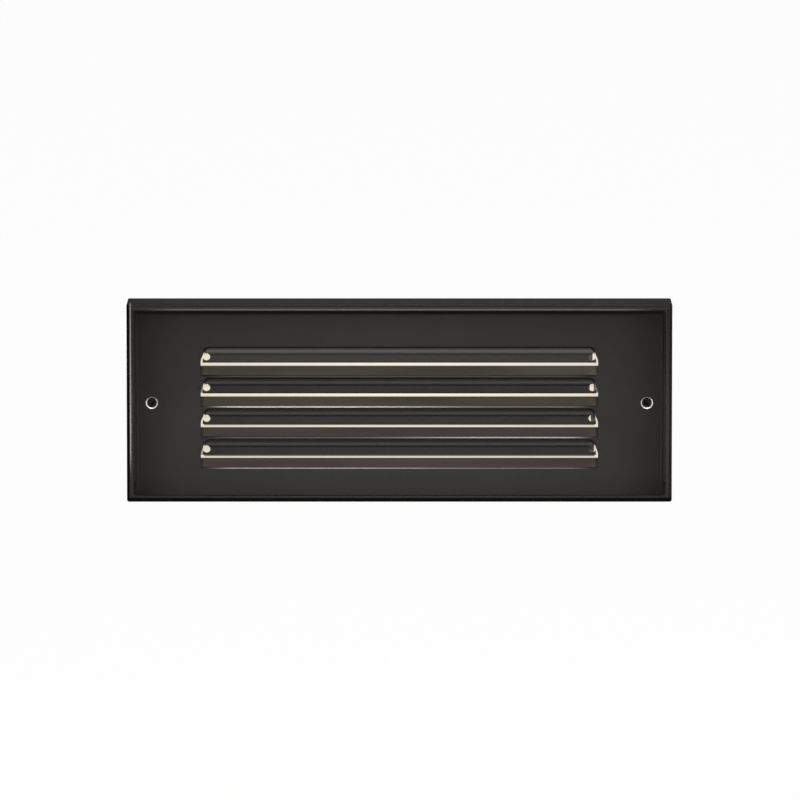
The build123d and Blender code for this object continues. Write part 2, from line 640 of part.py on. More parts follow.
def side_hub(side):
    """A conduit hub on an end wall, flush outside and standing into the box."""
    drafted_wall = BOX_WIDTH / 2 - tan(radians(BOX_DRAFT)) * (SIDE_HUB_Y - HUB_OUTER_RADIUS)
    inner = side * (drafted_wall - HUB_LENGTH)
    outer = side * (drafted_wall - HUB_INSET)
    return cross_rod(SIDE_HUB_Y, 0, HUB_OUTER_RADIUS, inner, outer)


def box_holes():
    """Holes for the inserts, the screws behind them, the hubs, the fixings and the small screws."""
    holes = [rod(side * SCREW_X, 0, INSERT_RADIUS, -FLANGE_THICKNESS - PAST, INSERT_LENGTH - FLANGE_THICKNESS)
             for side in SIDES]
    holes += [rod(side * SCREW_X, 0, LUG_HOLE_RADIUS, 0, LUG_LENGTH - LUG_FLOOR) for side in SIDES]
    holes += [rod(REAR_HUB_X, 0, HUB_BORE_RADIUS, BOX_DEPTH - HUB_LENGTH - PAST, BOX_DEPTH + PAST)]
    holes += [cross_rod(SIDE_HUB_Y, 0, HUB_BORE_RADIUS, side * POST_X, side * BOX_WIDTH) for side in SIDES]
    holes += [rod(sx * FIXING_SPACING_X / 2, sz * FIXING_SPACING_Z / 2, FIXING_RADIUS,
                  -FLANGE_THICKNESS - PAST, PAST) for sx, sz in CORNERS]
    holes += [rod(side * POST_X, 0, PILOT_RADIUS, REFLECTOR_FLOOR, REFLECTOR_FLOOR + PILOT_DEPTH)
              for side in SIDES]
    holes += [rod(BLOCK_X, 0, PILOT_RADIUS, BLOCK_BACK - PAST, BOX_FLOOR + PAST)]
    pad_front = BOX_FLOOR - GROUND_PAD_HEIGHT
    holes += [rod(GROUND_X, GROUND_Z, GROUND_HOLE_RADIUS, pad_front - PAST, BOX_FLOOR + PAST)]
    return holes


def make_back_box():
    body = box_shell() - box_hollow()
    body = body + box_additions() + [side_hub(side) for side in SIDES]
    return body - box_holes()


def make_screw_inserts():
    inserts = []
    for side in SIDES:
        sleeve = Circle(INSERT_RADIUS) - Circle(SCREW_RADIUS + SCREW_PLAY)
        inserts.append(slab(Pos(side * SCREW_X, 0) * sleeve, -FLANGE_THICKNESS,
                            INSERT_LENGTH - FLANGE_THICKNESS))
    return joined(inserts)


def make_conduit_plug(side):
    """Flush threaded plug with a square socket outside and a shallow cup inside."""
    face = side * (BOX_WIDTH / 2 - PLUG_FACE_INSET)
    inner = face - side * PLUG_LENGTH
    plug = cross_rod(SIDE_HUB_Y, 0, HUB_BORE_RADIUS - PLUG_PLAY, inner, face)
    key = Pos(SIDE_HUB_Y, 0) * Rectangle(PLUG_KEY_SIZE, PLUG_KEY_SIZE)
    socket = extrude(Plane.YZ.offset(face) * key, amount=-side * PLUG_KEY_DEPTH)
    hollow = cross_rod(SIDE_HUB_Y, 0, PLUG_HOLLOW_RADIUS, inner, inner + side * PLUG_HOLLOW_DEPTH)
    return plug - socket - hollow


# ---------------------------------------------------------------- reflector

def reflector_section(inset):
    """Half of the trough's section in Y and Z, as the curve from floor to mouth."""
    floor_y = REFLECTOR_BACK - inset
    floor_z = REFLECTOR_FLOOR_HEIGHT / 2
    mouth_z = REFLECTOR_MOUTH_HEIGHT / 2 - inset
    bulge_y = REFLECTOR_MOUTH_Y + (floor_y - REFLECTOR_MOUTH_Y) * REFLECTOR_BULGE_DEPTH
    bulge_z = floor_z + (mouth_z - floor_z) * REFLECTOR_BULGE_RISE
    return floor_y, floor_z, mouth_z, bulge_y, bulge_z


def reflector_trough(inset):
    """The solid inside one side of the sheet: a curved trough that narrows to the floor."""
    floor_y, floor_z, mouth_z, bulge_y, bulge_z = reflector_section(inset)
    mouth_y = REFLECTOR_MOUTH_Y - inset
    upper = ThreePointArc((floor_y, floor_z), (bulge_y, bulge_z), (mouth_y, mouth_z))
    lower = ThreePointArc((mouth_y, -mouth_z), (bulge_y, -bulge_z), (floor_y, -floor_z))
    front = Line((mouth_y, mouth_z), (mouth_y, -mouth_z))
    floor = Line((floor_y, -floor_z), (floor_y, floor_z))
    section = make_face(Curve() + [upper, front, lower, floor])
    return extrude(Plane.YZ * section, amount=REFLECTOR_LENGTH / 2 - inset, both=True)


def make_reflector():
    """A folded bright sheet: curved long sides, flat ends and a flat floor."""
    sheet = reflector_trough(0) - reflector_trough(REFLECTOR_SHEET)
    front = REFLECTOR_FLOOR - PAST
    back = REFLECTOR_BACK + PAST
    holes = [rod(side * POST_X, 0, POST_HOLE_RADIUS, front, back) for side in SIDES]
    holes += [slab(Pos(LEAD_TURN_X, 0) * SlotOverall(*GROMMET_HOLE, rotation=90), front, back)]
    holes += [rod(FOOT_SCREW_X, side * FOOT_SCREW_Z, FOOT_HOLE_RADIUS, front, back) for side in SIDES]
    return sheet - holes


def make_reflector_screws():
    return joined([pan_screw(side * POST_X, 0, POST_SCREW_RADIUS, REFLECTOR_FLOOR, POST_SCREW_LENGTH,
                             POST_SCREW_HEAD_RADIUS, POST_SCREW_HEAD_HEIGHT) for side in SIDES])


def make_lead_grommet():
    """An oval rubber bush in the reflector's floor, with one hole for each lead."""
    place = Pos(LEAD_TURN_X, 0)
    waist = place * SlotOverall(*GROMMET_WAIST, rotation=90)
    collar = place * SlotOverall(*GROMMET_COLLAR, rotation=90)
    front_end = REFLECTOR_FLOOR - GROMMET_COLLAR_THICKNESS
    back_end = REFLECTOR_BACK + GROMMET_COLLAR_THICKNESS
    bush = slab(collar, front_end, REFLECTOR_FLOOR) + slab(waist, REFLECTOR_FLOOR, REFLECTOR_BACK)
    bush = bush + slab(collar, REFLECTOR_BACK, back_end)
    return bush - [rod(LEAD_TURN_X, side * PIN_SPACING / 2, LEAD_RADIUS + GROMMET_PLAY, front_end - PAST,
                       back_end + PAST) for side in SIDES]


# ---------------------------------------------------------------- lamp and holder

def make_lampholder_bracket():
    """An angle of sheet steel: a foot on the reflector's floor and an upright for the holder."""
    left = BRACKET_LEFT
    tip = LAMP_Y - HOLDER_RADIUS - BRACKET_TOP
    outer = [(left, tip), (HOLDER_START, tip), (HOLDER_START, REFLECTOR_FLOOR - BRACKET_SHEET),
             (left + BRACKET_FOOT, REFLECTOR_FLOOR - BRACKET_SHEET),
             (left + BRACKET_FOOT, REFLECTOR_FLOOR), (left, REFLECTOR_FLOOR)]
    angle = extrude(Plane.XY * make_face(Polyline(outer, close=True)), amount=BRACKET_WIDTH / 2, both=True)
    corner = angle.edges().filter_by(Axis.Z).sort_by(Axis.X)[0:2].sort_by(Axis.Y)[-1]
    angle = fillet(corner, BRACKET_SHEET)
    tips = angle.edges().filter_by(Axis.X).sort_by(Axis.Y)[0:2]
    angle = chamfer(tips, BRACKET_CHAMFER)
    through = (left - PAST, HOLDER_START + PAST)
    holes = [cross_rod(LAMP_Y, side * PIN_SPACING / 2, BRACKET_LEAD_RADIUS, *through) for side in SIDES]
    holes += [cross_rod(LAMP_Y, side * HOLDER_SCREW_Z, BRACKET_SCREW_HOLE, *through) for side in SIDES]
    holes += [rod(FOOT_SCREW_X, side * FOOT_SCREW_Z, FOOT_HOLE_RADIUS, REFLECTOR_FLOOR - 2 * BRACKET_SHEET,
                  REFLECTOR_BACK) for side in SIDES]
    return angle - holes


def make_bracket_screws():
    return joined([pan_screw(FOOT_SCREW_X, side * FOOT_SCREW_Z, FOOT_SCREW_RADIUS, REFLECTOR_FLOOR - BRACKET_SHEET,
                             FOOT_SCREW_LENGTH, FOOT_SCREW_HEAD_RADIUS, FOOT_SCREW_HEAD_HEIGHT)
                   for side in SIDES])


def make_lampholder():
    """A ceramic body with flats, a stepped nose and two pin sockets."""
    body = cross_rod(LAMP_Y, 0, HOLDER_RADIUS, HOLDER_START, HOLDER_START + HOLDER_LENGTH * HOLDER_BASE_SHARE)
    nose = cross_rod(LAMP_Y, 0, HOLDER_RADIUS - HOLDER_NOSE_STEP, HOLDER_START, HOLDER_END)
    middle = (HOLDER_START + HOLDER_END) / 2
    flats = Pos(middle, LAMP_Y, 0) * Box(HOLDER_LENGTH + PAST, HOLDER_FLATS, 3 * HOLDER_RADIUS)
    holder = (body + nose) & flats
    start = HOLDER_START - PAST
    for side in SIDES:
        pin_z = side * PIN_SPACING / 2
        holder = holder - cross_rod(LAMP_Y, pin_z, HOLDER_BORE_RADIUS, start, HOLDER_END + PAST)
        holder = holder - cross_rod(LAMP_Y, pin_z, LEAD_RADIUS + HOLDER_LEAD_PLAY, start,
                                    HOLDER_START + HOLDER_LEAD_DEPTH)
        holder = holder - cross_rod(LAMP_Y, side * HOLDER_SCREW_Z, HOLDER_TAP_RADIUS, start,
                                    HOLDER_START + HOLDER_TAP_DEPTH)
    return holder


def make_lampholder_contacts():
    """Sprung tubes in the holder that grip the lamp's pins."""
    start = HOLDER_START + HOLDER_LEAD_DEPTH
    tubes = []
    for side in SIDES:
        z = side * PIN_SPACING / 2
        tube = cross_rod(LAMP_Y, z, CONTACT_RADIUS, start, HOLDER_END - CONTACT_SHORT)
        bore = cross_rod(LAMP_Y, z, PIN_RADIUS + SCREW_PLAY, start + CONTACT_SOLID, HOLDER_END)
        tubes.append(tube - bore)
    return joined(tubes)


def make_lampholder_screws():
    """Small screws from behind the upright into the ceramic."""
    screws = []
    for side in SIDES:
        z = side * HOLDER_SCREW_Z
        shank = cross_rod(LAMP_Y, z, HOLDER_SCREW_RADIUS, BRACKET_LEFT, HOLDER_START + HOLDER_SCREW_DEPTH)
        head = cross_rod(LAMP_Y, z, HOLDER_SCREW_HEAD_RADIUS, BRACKET_LEFT - HOLDER_SCREW_HEAD_HEIGHT,
                         BRACKET_LEFT)
        screws.append(head + shank)
    return joined(screws)


def across(x, shape):
    """A flat shape in Y and Z, placed at x on the lamp's axis."""
    return Plane.YZ.offset(x) * Pos(LAMP_Y, 0) * shape


def make_lamp_envelope():
    """Glass capsule: a round tube with a domed tip, pinched flat at the base."""
    shoulder = LAMP_START + LAMP_SHOULDER
    tube = cross_rod(LAMP_Y, 0, LAMP_RADIUS, shoulder, LAMP_END)
    tip = tube.edges().filter_by(GeomType.CIRCLE).sort_by(Axis.X)[-1]
    tube = fillet(tip, LAMP_RADIUS - LAMP_TIP_FLAT)
    foot = RectangleRounded(LAMP_PINCH_THICKNESS, LAMP_PINCH_WIDTH, LAMP_PINCH_RADIUS)
    swell = RectangleRounded(LAMP_PINCH_SWELL, LAMP_PINCH_WIDTH, LAMP_PINCH_RADIUS)
    swell_x = LAMP_START + LAMP_PINCH_LENGTH
    pinch = loft([across(LAMP_START, foot), across(swell_x, swell)])
    neck = loft([across(swell_x, swell), across(shoulder, Circle(LAMP_RADIUS))])
    inside = cross_rod(LAMP_Y, 0, LAMP_RADIUS - LAMP_GLASS, shoulder + LAMP_GLASS / 2, LAMP_END - LAMP_TIP_GLASS)
    inside_tip = inside.edges().filter_by(GeomType.CIRCLE).sort_by(Axis.X)[-1]
    return tube + neck + pinch - fillet(inside_tip, LAMP_RADIUS - LAMP_GLASS - 0.8)


def make_lamp_pins():
    return joined([cross_rod(LAMP_Y, side * PIN_SPACING / 2, PIN_RADIUS, LAMP_START - PIN_LENGTH, LAMP_START)
                   for side in SIDES])


def make_lamp_filament():
    """Two support wires and the coiled wire between them, drawn as one thin bar."""
    start = LAMP_START + FILAMENT_LEG_START
    middle = LAMP_START + FILAMENT_MIDDLE
    legs = [cross_rod(LAMP_Y, side * FILAMENT_LEG_OFFSET, FILAMENT_LEG_RADIUS, start, middle) for side in SIDES]
    coil = extrude(Plane.XY * Pos(middle, LAMP_Y) * Circle(FILAMENT_COIL_RADIUS), amount=FILAMENT_COIL_HALF,
                   both=True)
    return coil + legs


# ---------------------------------------------------------------- terminal block and wiring

POLES = [side * POLE_SPACING / 2 for side in SIDES]
WELLS = [(BLOCK_X + side * WELL_SPACING / 2, z) for z in POLES for side in SIDES]


def make_terminal_block():
    """A two-pole block: one tunnel for each pole and two screw wells in each tunnel."""
    front = BLOCK_FRONT - PAST
    half = BLOCK_LENGTH / 2 + PAST
    outline = Pos(BLOCK_X, 0) * RectangleRounded(BLOCK_LENGTH, BLOCK_HEIGHT, BLOCK_CORNER_RADIUS)
    tunnels = [cross_rod(LEAD_Y, z, TUNNEL_RADIUS, BLOCK_X - half, BLOCK_X + half) for z in POLES]
    wells = [rod(x, z, WELL_RADIUS, front, LEAD_Y) for x, z in WELLS]
    fixing = [rod(BLOCK_X, 0, BLOCK_HOLE_RADIUS, front, BLOCK_BACK + PAST)]
    groove = slab(Pos(BLOCK_X, 0) * Rectangle(2 * half, BLOCK_GROOVE), front, BLOCK_FRONT + BLOCK_GROOVE_DEPTH)
    return slab(outline, BLOCK_FRONT, BLOCK_BACK) - tunnels - wells - fixing - groove


def make_terminal_clamps():
    """Brass tubes in the tunnels, tapped for the clamping screws."""
    clamps = []
    for z in POLES:
        tube = cross_rod(LEAD_Y, z, CLAMP_RADIUS, BLOCK_X - CLAMP_HALF, BLOCK_X + CLAMP_HALF)
        bore = cross_rod(LEAD_Y, z, CLAMP_BORE_RADIUS, BLOCK_X - CLAMP_HALF - PAST, BLOCK_X + CLAMP_HALF + PAST)
        taps = [rod(x, well_z, CLAMP_TAP_RADIUS, LEAD_Y - CLAMP_RADIUS - PAST, LEAD_Y)
                for x, well_z in WELLS if well_z == z]
        clamps.append(tube - bore - taps)
    return joined(clamps)


def make_terminal_screws():
    screws = []
    for x, z in WELLS:
        top = LEAD_Y - CLAMP_SCREW_TOP
        screw = rod(x, z, CLAMP_SCREW_RADIUS, top, LEAD_Y - CLAMP_SCREW_BOTTOM)
        slot = slab(Pos(x, z) * Rectangle(3 * CLAMP_SCREW_RADIUS, CLAMP_SLOT), top - PAST, top + CLAMP_SLOT_DEPTH)
        screws.append(screw - slot)
    return joined(screws)


def make_terminal_fixing_screw():
    return pan_screw(BLOCK_X, 0, BLOCK_SCREW_RADIUS, BLOCK_FRONT + BLOCK_GROOVE_DEPTH, BLOCK_SCREW_LENGTH,
                     BLOCK_SCREW_HEAD_RADIUS, BLOCK_SCREW_HEAD_HEIGHT)


def make_lead(side):
    """A sleeved lead from the back of the lampholder, through the grommet, to its clamp."""
    start = HOLDER_START + HOLDER_LEAD_DEPTH - SCREW_PLAY
    route = [(start, LAMP_Y), (LEAD_TURN_X, LAMP_Y), (LEAD_TURN_X, LEAD_Y), (BLOCK_X - CLAMP_HALF, LEAD_Y)]
    runs = [abs(b[0] - a[0]) + abs(b[1] - a[1]) for a, b in zip(route, route[1:])]
    radii = [LEAD_BEND_SHARE * min(one, other) for one, other in zip(runs, runs[1:])]
    path = Plane.XY.offset(side * PIN_SPACING / 2) * FilletPolyline(route, radius=radii)
    section = Plane(origin=path @ 0, z_dir=path % 0) * Circle(LEAD_RADIUS)
    lead = sweep(section, path=path)
    print("lead bends", [round(r, 1) for r in radii], "volume", round(lead.volume, 1),
          "section times length", round(section.area * path.length, 1))
    return lead


def make_ground_screw():
    return pan_screw(GROUND_X, GROUND_Z, GROUND_SCREW_RADIUS,
                     BOX_FLOOR - GROUND_PAD_HEIGHT - GROUND_WASHER_THICKNESS,
                     GROUND_SCREW_LENGTH, GROUND_HEAD_RADIUS, GROUND_HEAD_HEIGHT)


def make_ground_washer():
    """Washer that traps the earth wire under the ground screw."""
    ring = Circle(GROUND_WASHER_RADIUS) - Circle(GROUND_HOLE_RADIUS)
    back = BOX_FLOOR - GROUND_PAD_HEIGHT
    return slab(Pos(GROUND_X, GROUND_Z) * ring, back - GROUND_WASHER_THICKNESS, back)


# ---------------------------------------------------------------- export

NODES = {
    "faceplate": make_faceplate,
    "wall_gasket": make_wall_gasket,
    "faceplate_screw_left": lambda: make_faceplate_screw(-1),
    "faceplate_screw_right": lambda: make_faceplate_screw(1),
    "screw_retainer_left": lambda: make_screw_retainer(-1),
    "screw_retainer_right": lambda: make_screw_retainer(1),
    "lens": make_lens,
    "lens_gasket": make_lens_gasket,
    "lens_clips": make_lens_clips,
    "lens_clip_screws": make_lens_clip_screws,
    "box_gasket": make_box_gasket,
    "back_box": make_back_box,
    "screw_inserts": make_screw_inserts,
    "conduit_plug_left": lambda: make_conduit_plug(-1),
    "conduit_plug_right": lambda: make_conduit_plug(1),
    "reflector": make_reflector,
    "reflector_screws": make_reflector_screws,
    "lead_grommet": make_lead_grommet,
    "lampholder_bracket": make_lampholder_bracket,
    "bracket_screws": make_bracket_screws,
    "lampholder": make_lampholder,
    "lampholder_contacts": make_lampholder_contacts,
    "lampholder_screws": make_lampholder_screws,
    "lamp_envelope": make_lamp_envelope,
    "lamp_pins": make_lamp_pins,
    "lamp_filament": make_lamp_filament,
    "terminal_block": make_terminal_block,
    "terminal_clamps": make_terminal_clamps,
    "terminal_screws": make_terminal_screws,
    "terminal_fixing_screw": make_terminal_fixing_screw,
    "lead_line": lambda: make_lead(1),
    "lead_neutral": lambda: make_lead(-1),
    "ground_screw": make_ground_screw,
    "ground_washer": make_ground_washer,
}

os.makedirs("parts", exist_ok=True)
for name, make in NODES.items():
    export_step(make(), f"parts/{name}.step")
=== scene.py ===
# %% [markdown]
# # A louvred step light, dressed and lit
#
# The light is built into a brick wall. A black cast faceplate with four hooded
# slots covers a metal box, and a frosted lens glows behind the slots. The solid
# parts come from the construction model. This file gives each of them the finish
# that the real piece has, and makes anew the few pieces whose fine form a plain
# solid leaves out: threads, a coiled filament and the like. Lengths are metres.

# %% Load the frame
import functools
import json
import math
import bpy
import numpy as np
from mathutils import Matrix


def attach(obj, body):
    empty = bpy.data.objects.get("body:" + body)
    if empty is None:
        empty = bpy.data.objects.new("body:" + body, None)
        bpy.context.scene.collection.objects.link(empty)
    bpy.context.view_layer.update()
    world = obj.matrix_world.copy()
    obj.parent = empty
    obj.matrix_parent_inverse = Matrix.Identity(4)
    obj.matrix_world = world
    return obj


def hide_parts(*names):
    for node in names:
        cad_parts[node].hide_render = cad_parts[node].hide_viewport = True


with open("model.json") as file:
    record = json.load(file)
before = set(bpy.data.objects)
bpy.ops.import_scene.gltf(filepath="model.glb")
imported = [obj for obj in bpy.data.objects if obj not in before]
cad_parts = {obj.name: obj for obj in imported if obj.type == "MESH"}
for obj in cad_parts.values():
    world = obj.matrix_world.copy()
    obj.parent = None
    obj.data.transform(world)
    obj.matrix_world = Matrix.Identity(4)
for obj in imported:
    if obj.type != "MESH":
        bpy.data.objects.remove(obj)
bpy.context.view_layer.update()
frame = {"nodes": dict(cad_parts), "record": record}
nodes = frame["nodes"]
print("pieces in the frame:", len(nodes))

# %% [markdown]
# ## The camera
#
# The photograph was taken from straight in front, a little above the light, and
# from far away: the cover's sides stay almost parallel. So the camera is a long
# lens at a long distance, turned down by a few degrees. Measuring the cover's
# width in the picture against its real width gives the focal length.

# %% Place the camera
MM = 0.001
CAMERA_ELEVATION = math.radians(10.5)
CAMERA_DISTANCE = 6.0
CAMERA_TARGET = np.array([0.26, -18.0, 1.45]) * MM
CAMERA_LENS = 627.0          # millimetres

camera = bpy.data.objects.new("camera", bpy.data.cameras.new("camera"))
bpy.context.scene.collection.objects.link(camera)
bpy.context.scene.camera = camera
camera.data.sensor_width = 36
camera.data.lens = CAMERA_LENS
away = np.array([0.0, -math.cos(CAMERA_ELEVATION), math.sin(CAMERA_ELEVATION)])
camera.location = CAMERA_TARGET + CAMERA_DISTANCE * away
camera.rotation_euler = (math.pi / 2 - CAMERA_ELEVATION, 0, 0)
print("camera at", [round(v, 3) for v in camera.location])

# %% [markdown]
# ## Arithmetic on sockets
#
# A finish is a small program of nodes. Wiring it by hand hides the formula, so a
# socket is wrapped in a class that knows plus, minus, times and divide, and a
# formula is then written as a formula. A Wire doesn't make nodes itself: it asks
# the tree that it belongs to.

# %% A socket that can be used in formulas
class Wire:
    """The output of a node. Arithmetic on it adds Math nodes."""

    def __init__(self, nodes, socket):
        self.nodes = nodes
        self.socket = socket

    def __add__(self, other):
        return self.nodes.reckon("ADD", self, other)

    def __sub__(self, other):
        return self.nodes.reckon("SUBTRACT", self, other)

    def __rsub__(self, other):
        return self.nodes.reckon("SUBTRACT", other, self)

    def __mul__(self, other):
        return self.nodes.reckon("MULTIPLY", self, other)

    def __truediv__(self, other):
        return self.nodes.reckon("DIVIDE", self, other)

    def __pow__(self, other):
        return self.nodes.reckon("POWER", self, other)

    __radd__ = __add__
    __rmul__ = __mul__


# %% [markdown]
# Nodes is the tree round one shader, of a material or of the world. Numbers that
# are the same all over are set on the shader when it is made, and what varies is
# wired in afterwards. Every node comes from one method, add, which takes the node's
# type, its settings and what goes into its sockets. The soft steps and stripes
# that all the masks are made of follow from it.

# %% A tree of nodes
class Nodes:
    """The nodes round one shader."""

    def __init__(self, tree, shader, **constants):
        self.tree = tree
        self.shader = tree.nodes[shader]
        self.wire(**constants)

    def fill(self, socket, value):
        """Links a Wire to the socket, or sets the socket to a number, vector or colour."""
        if isinstance(value, Wire):
            self.tree.links.new(value.socket, socket)
        elif hasattr(value, "__len__") and len(value) == 3 and socket.type == "RGBA":
            socket.default_value = (*value, 1.0)
        else:
            socket.default_value = value

    def wire(self, **inputs):
        """Sets or links the shader's sockets, named with _ for a space."""
        for name, value in inputs.items():
            self.fill(self.shader.inputs[name.replace("_", " ")], value)

    def add(self, kind, settings, inputs, output=0):
        """Adds any node: its settings first, then its sockets' values or links."""
        node = self.tree.nodes.new(kind)
        for name, value in settings.items():
            setattr(node, name, value)
        for name, value in inputs.items():
            self.fill(node.inputs[name], value)
        return Wire(self, node.outputs[output])

    def reckon(self, operation, *values):
        """One Math node. Each value is a Wire or a number."""
        return self.add("ShaderNodeMath", {"operation": operation}, dict(enumerate(values)))

    def step(self, value, low, high):
        """0 below low, 1 above high, and smooth between. low may be the larger."""
        settings = {"interpolation_type": "SMOOTHSTEP"}
        limits = {"Value": value, "From Min": low, "From Max": high}
        return self.add("ShaderNodeMapRange", settings, limits)

    def between(self, value, low, high, soft):
        """1 from low to high and 0 outside: a step up times a step down, each 2 soft wide."""
        return self.step(value, low - soft, low + soft) * self.step(value, high + soft, high - soft)

    def stripe(self, value, middle, outer, inner):
        """1 up to inner from the middle and 0 from outer on: a step of |value - middle|."""
        return self.step(self.reckon("ABSOLUTE", value - middle), outer, inner)

    def largest(self, *values):
        """The largest of two or more values, found two at a time."""
        return functools.reduce(lambda one, other: self.reckon("MAXIMUM", one, other), values)


# %% [markdown]
# A Finish is one material. It adds what nearly every finish of this light needs: a
# place on the piece, a noise of a given grain size, a blend of two colours and a
# bump.
#
# Patterns are read from Object coordinates. Every piece sits at the origin with
# its place in its mesh, so these are places in the whole light, and a formula can
# use the same lengths as the construction model.

# %% A material and its building blocks
class Finish(Nodes):
    """A material round one Principled shader."""

    def __init__(self, name, **constants):
        self.material = bpy.data.materials.new(name)
        self.material.use_nodes = True
        super().__init__(self.material.node_tree, "Principled BSDF", **constants)

    def place(self):
        """Where a point is, in the frame of the whole light."""
        return self.add("ShaderNodeTexCoord", {}, {}, "Object")

    def along(self, axis):
        """That place measured along one axis, X, Y or Z."""
        return self.add("ShaderNodeSeparateXYZ", {}, {0: self.place()}, axis)

    def noise(self, size, detail=2.0, stretch=(1, 1, 1)):
        """Noise from 0 to 1 whose lumps are about size across."""
        scale = [v / size for v in stretch]
        spot = self.add("ShaderNodeMapping", {}, {"Vector": self.place(), "Scale": scale})
        return self.add("ShaderNodeTexNoise", {}, {"Vector": spot, "Scale": 1.0, "Detail": detail})

    def blend(self, factor, first, second):
        """The first colour where factor is 0, the second where it is 1."""
        colours = {0: factor, 6: first, 7: second}
        return self.add("ShaderNodeMix", {"data_type": "RGBA"}, colours, 2)

    def bump(self, height, strength, deep):
        """Roughens the surface by a height from 0 to 1 that stands for deep metres."""
        relief = {"Height": height, "Strength": strength, "Distance": deep}
        self.wire(Normal=self.add("ShaderNodeBump", {}, relief))


def tint(colour, share):
    """A colour made lighter or darker by a share of itself."""
    return tuple(min(1.0, channel * share) for channel in colour)


# %% [markdown]
# ## The faceplate's powder coat
#
# The cover is a casting, dusted with black powder that melts in an oven to a satin
# coat. The coat is not the same everywhere. Painting the differences by hand would
# tie them to one mesh, so each is found by its place on the piece instead, as a
# mask from 0 to 1. The masks need the lengths of the cover, which are those of the
# construction model: the screws, the field, the rim and the four rows.

# %% Where the faceplate's parts are
SCREW_X = 106.6 * MM
COUNTERSINK_RADIUS = 2.85 * MM
HOOD_FRONT_Y = -21.1 * MM
FIELD_Y = -17.1 * MM
FIELD_BACK_Y = -14.1 * MM
PLATE_HALF = (117.5 * MM, 43.45 * MM)
RIM_WIDTH = 3.0 * MM
LEFT_CREST_X = -115.8 * MM
TOP_CREST_Z = 40.9 * MM
SLOTS_HALF = 85.6 * MM
ROWS_HALF = 35 * MM
ROW_PITCH = 13.45 * MM
ROW_MIDDLE = -4.45 * MM
SILL_DROP = 3.9 * MM
SILLS = [ROW_MIDDLE + (1.5 - row) * ROW_PITCH for row in range(4)]
SILL_EDGES = [sill - SILL_DROP for sill in SILLS]
print("outer edges of the sills, mm:", [round(z / MM, 2) for z in SILL_EDGES])

# %% [markdown]
# The coat is nearly black and a little warm. Inside the slots the lens's warm glow
# that falls on the sills is painted into the colour, olive grey in the upper rows
# and red brown in the lower ones. Colours are written as shares of the light that
# the surface gives back.

# %% Colours of the coat
COAT = (0.0046, 0.0043, 0.0040)
# Painted light: the lens's glow on the sills of the upper and of the lower rows.
GLOW_ON_UPPER_SILLS = (0.105, 0.097, 0.077)
GLOW_ON_LOWER_SILLS = (0.082, 0.065, 0.057)
BARE_METAL = (0.90, 0.90, 0.88)
# The colour of the painted highlights on the crest and the sills' edges.
PAINTED_HIGHLIGHT = (0.45, 0.43, 0.40)
# Dust together with painted light from above, on the hoods' backs and the crest.
DUST_AND_TOP_LIGHT = (0.085, 0.083, 0.078)
# The colour of the painted shade: crease, outer edges, lips and field ends.
BLACK = (0.0, 0.0, 0.0)
print("the coat gives back", round(100 * COAT[0], 2), "% of red light")

# %% [markdown]
# The faceplate's finish works out a point's place once, and every mask reads it:
# x, y and z, how far the point is from the middle sideways and up or down, and
# whether it lies in the recessed field.

# %% A finish that knows the cover
class CoverCoat(Finish):
    """A finish with the places that the cover's masks are made of."""

    def __init__(self, name, **constants):
        super().__init__(name, **constants)
        self.x, self.y, self.z = (self.along(axis) for axis in "XYZ")
        self.wide, self.high = self.reckon("ABSOLUTE", self.x), self.reckon("ABSOLUTE", self.z)
        self.in_field = self.step(self.y, FIELD_Y - 0.6 * MM, FIELD_Y - 0.2 * MM)


# %% [markdown]
# The countersinks were cut after the coating, so a cone of bare metal shines round
# each screw. A circle round both screws at once needs only the distance to the
# nearer one, which the sideways distance from the middle gives.

# %% Bare cones and faded slots
CONE_Y = (-12 * MM, -13 * MM)                  # where the step starts and where it is full


def bare_cones(coat):
    """1 on the cones: the distance is the root of (|x| - SCREW_X) squared plus z squared."""
    from_screw = ((coat.wide - SCREW_X) ** 2.0 + coat.z ** 2.0) ** 0.5
    bare = coat.step(from_screw, COUNTERSINK_RADIUS - 0.15 * MM, COUNTERSINK_RADIUS - 0.3 * MM)
    return bare * coat.step(coat.y, *CONE_Y)


def slot_insides(coat):
    """1 between the field's front and its back, where the four slots are."""
    slot = coat.step(coat.y, FIELD_Y + 0.02 * MM, FIELD_Y + 0.5 * MM)
    slot = slot * coat.step(coat.y, FIELD_BACK_Y + 0.3 * MM, FIELD_BACK_Y + 0.1 * MM)
    slot = slot * coat.step(coat.wide, SLOTS_HALF + 1 * MM, SLOTS_HALF - 2 * MM)
    return slot * coat.step(coat.high, ROWS_HALF + 1 * MM, ROWS_HALF - 1 * MM)


# %% [markdown]
# Thin light lines are painted on the edges that stand proud, as painted highlights
# in a lighter metal: on the rim's crest and on the outer edges of the sills. Each is
# a stripe at a known height. The second row's line is brightest, and each row is
# brighter at one end than at the other, so a row's share goes from its left number
# to its right one. Where a sill's edge gets no highlight it is painted in shade,
# darker than the field round it, and is kept for later.

# %% Painted highlights on the edges
SILL_EDGE_HIGHLIGHTS = ((0.1, 0.1), (1.0, 0.3), (0.15, 0.7), (0.5, 0.25))   # left, right
LEFT_CREST_HIGHLIGHT = 0.4
TOP_CREST_HIGHLIGHT = 0.16
LEFT_CREST_FADES_Z = (-34 * MM, -20 * MM)      # where a step starts and where it is full
TOP_CREST_FADES_X = (112 * MM, 96 * MM)
ROW_FROM_LEFT_TO_RIGHT_X = (-30 * MM, 50 * MM)
FRONT_OF_PLATE_Y = (-15.5 * MM, -16.5 * MM)


